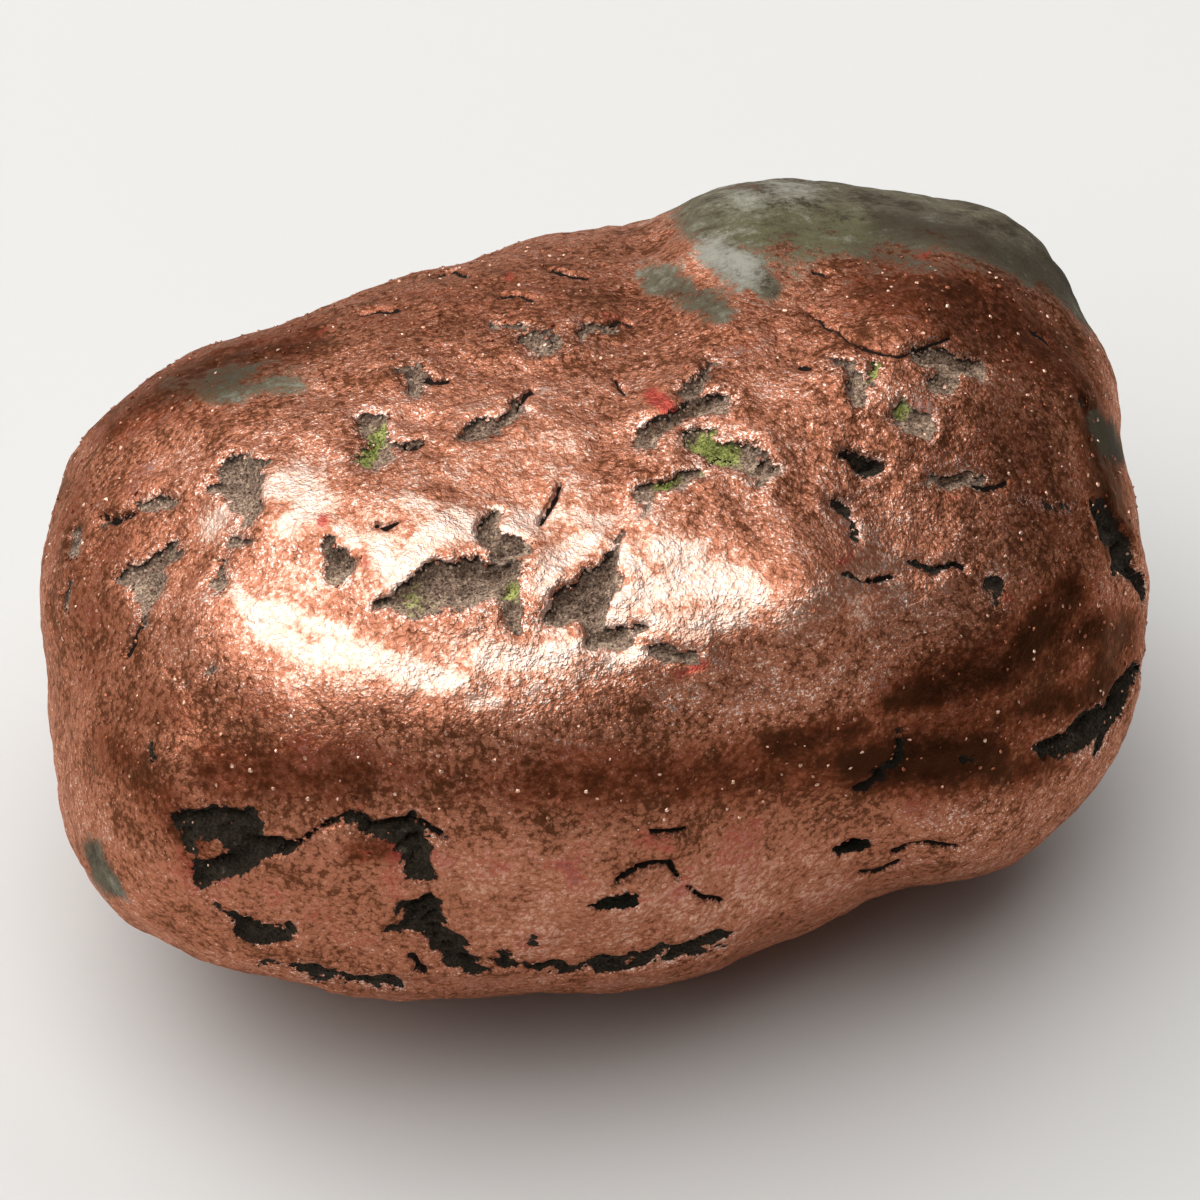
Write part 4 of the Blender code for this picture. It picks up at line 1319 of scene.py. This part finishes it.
@dataclass
class Shading:
    """The nodes that a finish is built from, with patterns sized in millimetres.

    The patterns that several layers of a finish share are made once, when first asked for.

    Args:
        name: the material's name.
        fine_size: how wide the finest grain is.
        ragged_size: how wide the ragged patches are.
        bead_size: how wide the beaten beads of the metal are.
    """

    name: str
    fine_size: float = 0.09
    ragged_size: float = 0.3
    bead_size: float = 0.2

    def __post_init__(self) -> None:
        """Make the material, with places in millimetres on the object's own coordinates."""
        self.material = bpy.data.materials.new(self.name)
        self.material.use_nodes = True
        self.tree = self.material.node_tree
        self.tree.nodes.clear()
        own = add_node(self.tree, "ShaderNodeTexCoord").outputs["Object"]
        self.place = self.add("ShaderNodeMapping", {"Vector": own, "Scale": (1 / MM,) * 3})

    def add(self, kind: str, inputs: dict[Any, Any], **settings: Any) -> Any:
        """Add one node, and give its first output."""
        return add_node(self.tree, kind, inputs, **settings).outputs[0]

    def mark(self, name: str) -> Any:
        """A mark that the mesh carries."""
        return add_node(self.tree, "ShaderNodeAttribute", attribute_name=name).outputs["Fac"]

    def grain(self, size: float, detail: float, rough: float = 0.5) -> Any:
        """Cloudy noise, from 0 to 1.

        Args:
            size: how wide its lumps are, in millimetres.
            detail: how many finer layers it has.
            rough: how strong the finer layers are.

        Returns:
            The noise.
        """
        return self.add("ShaderNodeTexNoise", {
            "Vector": self.place, "Scale": 1.0 / size, "Detail": detail, "Roughness": rough})

    @cached_property
    def fine(self) -> Any:
        """The finest grain."""
        return self.grain(self.fine_size, 1.0, 0.9)

    @cached_property
    def ragged(self) -> Any:
        """Ragged patches."""
        return self.grain(self.ragged_size, 3.0, 0.62)

    @cached_property
    def cloud(self) -> Any:
        """The slow clouds that the skin carries."""
        return self.mark("cloud")

    @cached_property
    def beads(self) -> Any:
        """Round beads packed side by side, from 0 at a bead's top to 1 between beads."""
        stray = add_node(self.tree, "ShaderNodeTexNoise", {
            "Vector": self.place, "Scale": 1.5 / self.bead_size, "Detail": 1.0}).outputs[1]
        place = self.add("ShaderNodeVectorMath", {
            0: stray, 1: (self.bead_size,) * 3, 2: self.place}, operation="MULTIPLY_ADD")
        return self.add("ShaderNodeTexVoronoi", {
            "Vector": place, "Scale": 1.0 / self.bead_size})

    def total(self, base: Any, *terms: tuple[Any, Any]) -> Any:
        """A value with others added to it. A product is a total on a base of zero.

        Args:
            base: the value.
            terms: what is added, each a pair of a value and the share of it.

        Returns:
            The total.
        """
        for value, share in terms:
            base = self.add("ShaderNodeMath", {0: value, 1: share, 2: base},
                            operation="MULTIPLY_ADD")
        return base

    def step(self, value: Any, low: float, high: float, start: float = 0.0,
             end: float = 1.0) -> Any:
        """A smooth change from start to end as a value goes from low to high."""
        return self.add("ShaderNodeMapRange", {
            "Value": value, "From Min": low, "From Max": high, "To Min": start,
            "To Max": end}, interpolation_type="SMOOTHSTEP")

    def coats(self, body: Any, *layers: tuple[Any, Any]) -> Any:
        """A colour with coats laid over it.

        Args:
            body: the colour.
            layers: the coats from the lowest up, each a pair of its share and its colour.

        Returns:
            The colour that shows.
        """
        for share, coat in layers:
            pair = [colour(item) if isinstance(item, str) else item for item in (body, coat)]
            body = add_node(self.tree, "ShaderNodeMix", {0: share, 6: pair[0], 7: pair[1]},
                            data_type="RGBA").outputs[2]
        return body

    def finished(self, **inputs: Any) -> bpy.types.Material:
        """End the material in one Principled shader.

        Args:
            inputs: its inputs, with underscores for the spaces in their names.

        Returns:
            The material.
        """
        shader = self.add("ShaderNodeBsdfPrincipled", {
            key.replace("_", " "): value for key, value in inputs.items()})
        add_node(self.tree, "ShaderNodeOutputMaterial", {0: shader})
        return self.material


@dataclass(frozen=True)
class HostRock:
    """Altered basalt with epidote, which held the copper: a matt granular rock.

    It shows the eye tight dark and pale grains, grey-brown overall, with no gloss.

    Args:
        dark: the darkest grains.
        middle: most of the grains.
        pale: the palest grains.
        shaded: the painted shade on the rock at the bottom of the darkest hollows.
        epidote: the green mineral.
        dark_epidote: the same in its dark grains.
        roughness: how matt it is.
        gloss: how strongly it mirrors.
    """

    dark: str = "#4a3a30"
    middle: str = "#8f7766"
    pale: str = "#cdb49a"
    shaded: str = "#14140d"
    epidote: str = "#b5c05f"
    dark_epidote: str = "#5a662d"
    roughness: float = 0.85
    gloss: float = 0.2

    def tone(self, nodes: Shading) -> Any:
        """The rock's colour.

        Args:
            nodes: the nodes that the finish is built from.

        Returns:
            The colour.
        """
        level = nodes.total(nodes.fine, (nodes.ragged, 0.8), (nodes.cloud, 0.12))
        patches = nodes.step(nodes.total(nodes.ragged, (nodes.mark("epidote"), 1.0)), 0.75, 1.1)
        green = nodes.coats(self.dark_epidote, (nodes.step(level, 0.65, 1.15), self.epidote))
        return nodes.coats(
            self.dark,
            (nodes.step(level, 0.62, 0.95), self.middle),
            (nodes.step(level, 0.92, 1.2), self.pale),
            (nodes.total(0.0, (patches, 0.8)), green))

    def material(self) -> bpy.types.Material:
        """The finish of loose grains of the rock, each with a tone of its own."""
        nodes = Shading("host_rock_epidote_basalt")
        tone = nodes.mark("tone")
        body = nodes.coats(
            self.tone(nodes),
            (nodes.step(tone, 0.1, 0.5, 0.65, 0.0), self.dark),
            (nodes.step(tone, 0.8, 1.0, 0.0, 0.5), self.pale),
            # Painted shade darkens the grains in the darkest hollows.
            (nodes.mark("shade"), self.shaded))
        return nodes.finished(Base_Color=body, Roughness=self.roughness,
                              Specular_IOR_Level=self.gloss)


@dataclass(frozen=True)
class WeatheredCrust:
    """The dull skin that weathering left on the shoulder: matt, smooth, grey and greenish.

    Args:
        dark: its darkest parts.
        middle: most of it.
        pale: its lichen-like blotches.
        green: the green that tints parts of it.
    """

    dark: str = "#3a3225"
    middle: str = "#655e4d"
    pale: str = "#9a978b"
    green: str = "#5d5b3e"

    def tone(self, nodes: Shading) -> Any:
        """The crust's colour.

        Args:
            nodes: the nodes that the finish is built from.

        Returns:
            The colour.
        """
        level = nodes.total(nodes.ragged, (nodes.cloud, 0.35), (nodes.fine, 0.4))
        tint = nodes.total(level, (nodes.mark("epidote"), 1.0))
        wisps = nodes.total(nodes.mark("bright"), (level, 0.6))
        return nodes.coats(
            self.dark,
            (nodes.step(level, 0.35, 0.9), self.middle),
            (nodes.step(tint, 0.75, 1.2, 0.0, 0.7), self.green),
            (nodes.step(level, 0.8, 1.2, 0.0, 0.6), self.pale),
            # Darker where the tarnished stain lies, which is partly painted shade.
            (nodes.step(nodes.mark("tarnish"), 0.2, 0.9, 0.0, 0.8), self.dark),
            (nodes.step(wisps, 0.55, 1.15), self.pale))


@dataclass(frozen=True)
class NativeCopper:
    """Native copper, hammered by a stream bed: bare metal in the open, tarnished in its pits.

    It shows the eye a rosy metal with glints from thousands of small lumps, brown where
    oxide has stayed between them, deep red where cuprite coats it. Its pale plates and
    flecks are painted highlight and painted glints, and its darker band is painted shade.

    Args:
        highlight_paint: the pale paint of the painted highlights and glints; it tints reflections
            too.
        bare: the rubbed metal, which also shows round the painted highlight.
        warm: the metal with a thin brown film.
        film: the oxide that stays in the creases.
        oxide: the deep red oxide film.
        soot_and_shade: the black oxide in the tarnished pits, and painted shade in the dark band.
        cuprite: the red of the torn edges.
        crack_dark_and_rim_shade: dark colour of the cracks; painted shade under overhanging rims.
        roughness: how matt the rubbed metal is.
        film_roughness: how matt the filmed metal is.
        gloss: how strongly what lies on the metal mirrors.
        relief: how high the lumps stand, in millimetres.
    """

    highlight_paint: str = "#f4d7c8"
    bare: str = "#ecbea6"
    warm: str = "#ba795d"
    film: str = "#6b3f2a"
    oxide: str = "#7b3a22"
    soot_and_shade: str = "#301b10"
    cuprite: str = "#b4483f"
    crack_dark_and_rim_shade: str = "#1c1613"
    roughness: float = 0.43
    film_roughness: float = 0.5
    gloss: float = 0.2
    relief: float = 0.04

    def tone(self, nodes: Shading) -> tuple[Any, Any, Any]:
        """The copper's own finish, with what oxide and cuprite leave on it.

        Args:
            nodes: the nodes that the finish is built from.

        Returns:
            The colour, the roughness and the height, from 0 to 1.
        """
        tarnish, painted_highlight, cuprite = (
            nodes.mark(name) for name in ("tarnish", "bright", "cuprite"))
        crease = nodes.step(nodes.beads, 0.4, 0.75)
        whole = nodes.total(1.0, (crease, -0.85))
        slow = nodes.total(nodes.ragged, (nodes.cloud, 0.25))
        # Lightness of the metal: raised by painted highlight, lowered by the tarnished stain that
        # is partly painted shade.
        level = nodes.total(
            slow, (nodes.fine, 0.5), (painted_highlight, 0.85), (tarnish, -0.2), (crease, -0.25))
        # Painted glints: small pale flecks, mostly near the rims, and none where the metal is
        # coated.
        lip = nodes.step(nodes.mark("gap"), 0.0, 0.4, 0.1, 0.0)
        painted_glint = nodes.total(nodes.fine, (slow, 0.4), (cuprite, -0.5), (tarnish, -0.09), (lip, 1.0))
        painted_glint = nodes.total(0.0, (nodes.step(painted_glint, 0.81, 0.85), whole))
        # Oxide and black oxide follow that stain, so they also lay painted shade in the dark band.
        old = nodes.total(tarnish, (nodes.cloud, 0.5))
        sooty_and_shaded = nodes.total(tarnish, (slow, -1.0))
        # Painted highlight: pale plates where the highlight mark is strong.
        highlight_plate = nodes.step(nodes.total(painted_highlight, (slow, 0.7)), 0.75, 1.3)
        red = nodes.total(slow, (cuprite, 1.0), (nodes.cloud, 0.25))
        body = nodes.coats(
            self.film,
            (nodes.step(level, 0.3, 0.75), self.warm),
            (nodes.step(level, 0.75, 1.25), self.bare),
            (painted_glint, self.highlight_paint),
            (nodes.step(old, 0.2, 1.1, 0.0, 0.7), self.oxide),
            (nodes.step(sooty_and_shaded, 0.0, 1.0, 0.0, 0.9), self.soot_and_shade),
            (nodes.total(0.0, (highlight_plate, whole)), self.highlight_paint),
            (nodes.step(red, 0.85, 1.4, 0.0, 0.85), self.cuprite))
        matt = nodes.step(level, 0.5, 1.0, self.film_roughness, self.roughness)
        matt = nodes.total(matt, (painted_glint, -0.13))
        height = nodes.total(0.0, (nodes.fine, 0.8), (nodes.beads, -1.0))
        height = nodes.total(0.0, (height, nodes.step(tarnish, 0.2, 1.2, 1.0, 0.45)))
        return body, matt, height

    def material(self, rock: HostRock, crust: WeatheredCrust) -> bpy.types.Material:
        """The finish of the skin: copper, rock in its hollows, dark cracks and painted shade.

        Args:
            rock: the rock that the hollows hold.
            crust: the weathering on its shoulder and edges.

        Returns:
            The material.
        """
        nodes = Shading("native_copper_waterworn")
        body, matt, height = self.tone(nodes)
        fray = nodes.total(-0.5, (nodes.ragged, 1.0))
        edge = nodes.total(nodes.mark("gap"), (fray, 0.34))
        bare = nodes.step(edge, -0.03, 0.0)
        # Painted shade: the hollow's shade darkens its rock, and a dark line lies just inside the
        # rims that overhang, where their shadow falls.
        line = nodes.total(0.0, (nodes.step(edge, -0.17, -0.05), nodes.mark("under")))
        stone = nodes.coats(
            rock.tone(nodes), (nodes.mark("shade"), rock.shaded), (line, self.crack_dark_and_rim_shade))
        wander = nodes.total(nodes.mark("crack"), (fray, 2.4))
        split = nodes.step(wander, 0.9, 1.25)
        crusted = nodes.total(nodes.mark("crust"), (fray, 0.9), (nodes.cloud, 0.35))
        crusted = nodes.step(crusted, 0.25, 0.7)
        body = nodes.coats(self.crack_dark_and_rim_shade, (split, nodes.coats(stone, (bare, body))),
                           (crusted, crust.tone(nodes)))
        metal = nodes.total(0.0, (nodes.total(0.0, (bare, split)),
                                  nodes.total(1.0, (crusted, -1.0))))
        rough = nodes.total(0.0, (nodes.fine, 1.2))
        height, matt = (
            nodes.add("ShaderNodeMix", {0: metal, 2: other, 3: own}, data_type="FLOAT")
            for other, own in ((rough, height), (rock.roughness, matt)))
        height = nodes.total(height, (nodes.step(edge, -0.06, 0.03), 1.6),
                             (nodes.step(wander, 0.6, 1.6), 1.6))
        return nodes.finished(
            Base_Color=body, Metallic=metal, Roughness=matt, Specular_IOR_Level=self.gloss,
            Specular_Tint=colour(self.highlight_paint), Normal=nodes.add("ShaderNodeBump", {
                "Height": height, "Distance": self.relief * MM}))

    def crumb_material(self) -> bpy.types.Material:
        """The finish of loose crumbs and torn bits of the metal, whose lumps are lower."""
        nodes = Shading("native_copper_crumbs")
        body, matt, height = self.tone(nodes)
        return nodes.finished(
            Base_Color=body, Metallic=1.0, Roughness=matt, Normal=nodes.add(
                "ShaderNodeBump", {"Height": height, "Distance": self.relief * 0.5 * MM}))


@dataclass(frozen=True)
class BeadedCopper:
    """Beads of copper that stand proud of the skin, some rubbed bright: small glints.

    Args:
        dull: the tarnished beads.
        bright: the rubbed ones.
        roughness: how matt they are.
    """

    dull: str = "#a5644a"
    bright: str = "#f3cdb4"
    roughness: float = 0.4

    def material(self) -> bpy.types.Material:
        """The beads' finish, each with a tone of its own."""
        nodes = Shading("native_copper_beads")
        body = nodes.coats(self.dull, (nodes.step(nodes.mark("tone"), 0.5, 1.0), self.bright))
        return nodes.finished(Base_Color=body, Metallic=1.0, Roughness=self.roughness)


@dataclass(frozen=True)
class MattFloor:
    """Pale painted board, which gives soft light back and shows no grain.

    Args:
        paint: its colour.
        shadowed: the same where it is a breath darker.
        cloud_size: how wide those clouds are, in millimetres.
        roughness: how matt it is.
    """

    paint: str = "#d8d7d4"
    shadowed: str = "#d5d4d1"
    cloud_size: float = 60.0
    roughness: float = 0.7

    def material(self) -> bpy.types.Material:
        """The floor's finish."""
        nodes = Shading("pale_matt_paint")
        tone = nodes.coats(self.paint, (nodes.grain(self.cloud_size, 2.0), self.shadowed))
        return nodes.finished(Base_Color=tone, Roughness=self.roughness)


def added(name: str, data: Any) -> bpy.types.Object:
    """A new object in the scene."""
    obj = bpy.data.objects.new(name, data)
    bpy.context.scene.collection.objects.link(obj)
    return obj


@dataclass
class NuggetSkin:
    """The lump's whole outside: one closed skin of copper with rock in its hollows.

    Args:
        net: the cells that it is drawn on.
        pebble: its plain form.
        wear: how it was hollowed, cracked and stained.
        dent_size: how wide the beaten dents are, in metres.
        dent_depth: how deep they are, in metres.
        wave_size: how wide the slow ripples are, in metres.
        wave_height: how high they are, in metres.
    """

    net: CubeNet = field(default_factory=CubeNet)
    pebble: Pebble = field(default_factory=Pebble)
    wear: Wear = field(default_factory=Wear)
    dent_size: float = 0.0011
    dent_depth: float = 0.00007
    wave_size: float = 0.0016
    wave_height: float = 0.00018

    def modelled(self) -> bpy.types.Mesh:
        """The worn skin as a mesh that stands on its foot, with its marks."""
        skin = self.pebble.skin(self.net)
        marks = self.wear.worn(skin)
        places = skin.points @ self.pebble.face.axes()
        places[:, 2] = np.maximum(places[:, 2] - places[:, 2].min() - self.wear.foot_wear, 0.0)
        places[:, :2] -= (places[:, :2].min(axis=0) + places[:, :2].max(axis=0)) / 2
        low, high = (np.array(corner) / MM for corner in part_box(NODE))
        places[:, :2] += (low[:2] + high[:2]) / 2
        mesh = bpy.data.meshes.new("nugget_skin")
        mesh.from_pydata((np.round(places, 6) * MM).tolist(), [], skin.cells.tolist())
        mesh.shade_smooth()
        marks.written(mesh)
        return mesh

    def build(self, material: bpy.types.Material) -> bpy.types.Object:
        """Make the skin, peen it and dress it.

        Args:
            material: its finish.

        Returns:
            The piece.
        """
        skin = added("nugget_skin", self.modelled())
        peening_tree().applied(skin, {
            "Dent Size": self.dent_size, "Dent Depth": self.dent_depth,
            "Wave Size": self.wave_size, "Wave Height": self.wave_height,
            "Material": material})
        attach(skin, BODY)
        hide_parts(NODE)
        return skin


@dataclass
class Scatter:
    """Small pieces scattered over a band of the skin.

    From mark on, each value is an input of the scatter tree, which has the same name.

    Args:
        name: the piece's name.
        slot: the record's material slot; not used.
        mark: the mark of the skin that says where they lie.
        lowest: the lowest value of that mark that they lie on.
        highest: the highest one.
        spacing: the least distance between two, in metres.
        smallest: the radius of the smallest, in metres.
        largest: the radius of the largest, in metres.
        flatness: how thick each is for its width.
        seed: which of the possible scatters this is.
        density: how many there are at most on a square metre.
        sink: how far each is moved out of the skin, in metres.
        facets: how finely each is cut.
    """

    name: str
    slot: str
    mark: str
    lowest: float
    highest: float
    spacing: float
    smallest: float
    largest: float
    flatness: float
    seed: int
    density: float = 1.0e9
    sink: float = -0.00001
    facets: int = 1

    def build(self, skin: bpy.types.Object, material: bpy.types.Material) -> bpy.types.Object:
        """Scatter the pieces and join them into one mesh.

        Args:
            skin: the skin that they lie on.
            material: their finish.

        Returns:
            The piece.
        """
        piece = added(self.name, skin.data.copy())
        values = {item.name.title(): getattr(self, item.name) for item in fields(self)[2:]}
        scatter_tree().applied(piece, values | {"Material": material})
        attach(piece, BODY)
        return piece


ROCK_GRAINS = Scatter(
    "rock_grains", "host_rock", "gap", lowest=-9.0, highest=-0.06, spacing=0.00016,
    smallest=0.000035, largest=0.00008, flatness=0.7, seed=4)
COPPER_CRUMBS = Scatter(
    "copper_crumbs", "native_copper", "gap", lowest=0.0, highest=0.09, spacing=0.00028,
    smallest=0.00004, largest=0.0001, flatness=0.45, seed=9)
COPPER_BEADS = Scatter(
    "copper_beads", "native_copper", "beaded", lowest=0.2, highest=2.0, spacing=0.00025,
    smallest=0.00003, largest=0.00009, flatness=0.7, seed=17, density=2.0e6, sink=0.0)


@dataclass(frozen=True)
class Softbox:
    """A large soft light that faces the lump.

    Args:
        name: its name.
        azimuth: where it stands, in degrees from -Y towards +X.
        elevation: how high it stands, in degrees.
        distance: how far away it is, in metres.
        size: its width and height, in metres.
        watts: its power.
    """

    name: str
    azimuth: float
    elevation: float
    distance: float
    size: tuple[float, float]
    watts: float

    def build(self) -> None:
        """Hang the light."""
        around, up = math.radians(self.azimuth), math.radians(self.elevation)
        back = Vector((math.sin(around) * math.cos(up), -math.cos(around) * math.cos(up),
                       math.sin(up)))
        lamp = bpy.data.lights.new(self.name, "AREA")
        lamp.shape, lamp.energy = "RECTANGLE", self.watts
        lamp.size, lamp.size_y = self.size
        light = added(self.name, lamp)
        light.location = back * self.distance
        light.rotation_euler = back.to_track_quat("Z", "Y").to_euler()


@dataclass
class Studio:
    """A pale floor, soft lights and the camera.

    Args:
        floor_side: how wide the floor is, in metres.
        aim: where the camera aims, in millimetres on the broad face.
        distance: how far the camera is, in millimetres.
        lens: its focal length, in millimetres.
        sky: the colour of the room around.
        sky_strength: how bright the room is.
        lights: the softboxes.
    """

    floor_side: float = 6.0
    aim: Point = (0.047, 8.879, 7.098)
    distance: float = 240.0
    lens: float = 200.0
    sky: str = "#eef0f2"
    sky_strength: float = 0.08
    lights: tuple[Softbox, ...] = (
        Softbox("overhead_softbox", -80.0, 68.0, 0.9, (1.25, 1.25), 12.0),
        Softbox("far_fill", 175.0, 40.0, 1.2, (1.6, 0.7), 3.2),
        Softbox("left_fill", -115.0, 14.0, 1.2, (1.4, 0.6), 0.9),
        Softbox("far_left_softbox", -152.0, 36.0, 1.2, (0.8, 0.55), 3.2),
        Softbox("right_high_fill", 110.0, 56.0, 1.0, (0.7, 0.5), 1.4),
    )

    def build(self, face: BroadFace) -> None:
        """Set up the floor, the room, the lights and the camera.

        Args:
            face: the broad face that the camera looks at.
        """
        half = self.floor_side / 2
        mesh = bpy.data.meshes.new("floor")
        corners = [(-half, -half, 0), (half, -half, 0), (half, half, 0), (-half, half, 0)]
        mesh.from_pydata(corners, [], [(0, 1, 2, 3)])
        mesh.materials.append(MattFloor().material())
        floor = added("floor", mesh)
        world = bpy.data.worlds.new("studio_room")
        world.use_nodes = True
        room = world.node_tree.nodes["Background"]
        room.inputs["Color"].default_value = colour(self.sky)
        room.inputs["Strength"].default_value = self.sky_strength
        bpy.context.scene.world = world
        for light in self.lights:
            light.build()
        camera = added("camera", bpy.data.cameras.new("camera"))
        camera.data.lens = self.lens
        camera.data.clip_start = 0.01
        right, up, out = (Vector(axis) for axis in face.axes())
        camera.location = face.place(*self.aim) + out * self.distance * MM
        camera.rotation_euler = Matrix((right, up, out)).transposed().to_euler()
        bpy.context.scene.camera = camera
        bpy.context.scene.view_settings.view_transform = "Standard"


def main() -> None:
    """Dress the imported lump, piece by piece."""
    logging.basicConfig(level=logging.INFO, format="%(name)s: %(message)s")
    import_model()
    copper, rock = NativeCopper(), HostRock()
    skin = NuggetSkin().build(copper.material(rock, WeatheredCrust()))
    LOG.info("skin: %d cells", len(skin.data.polygons))
    grains = ROCK_GRAINS.build(skin, rock.material())
    LOG.info("rock grains: %d faces", len(grains.data.polygons))
    crumbs = COPPER_CRUMBS.build(skin, copper.crumb_material())
    LOG.info("copper crumbs: %d faces", len(crumbs.data.polygons))
    beads = COPPER_BEADS.build(skin, BeadedCopper().material())
    LOG.info("copper beads: %d faces", len(beads.data.polygons))
    Studio().build(BroadFace())
    LOG.info("studio ready")


if __name__ == "__main__":
    main()
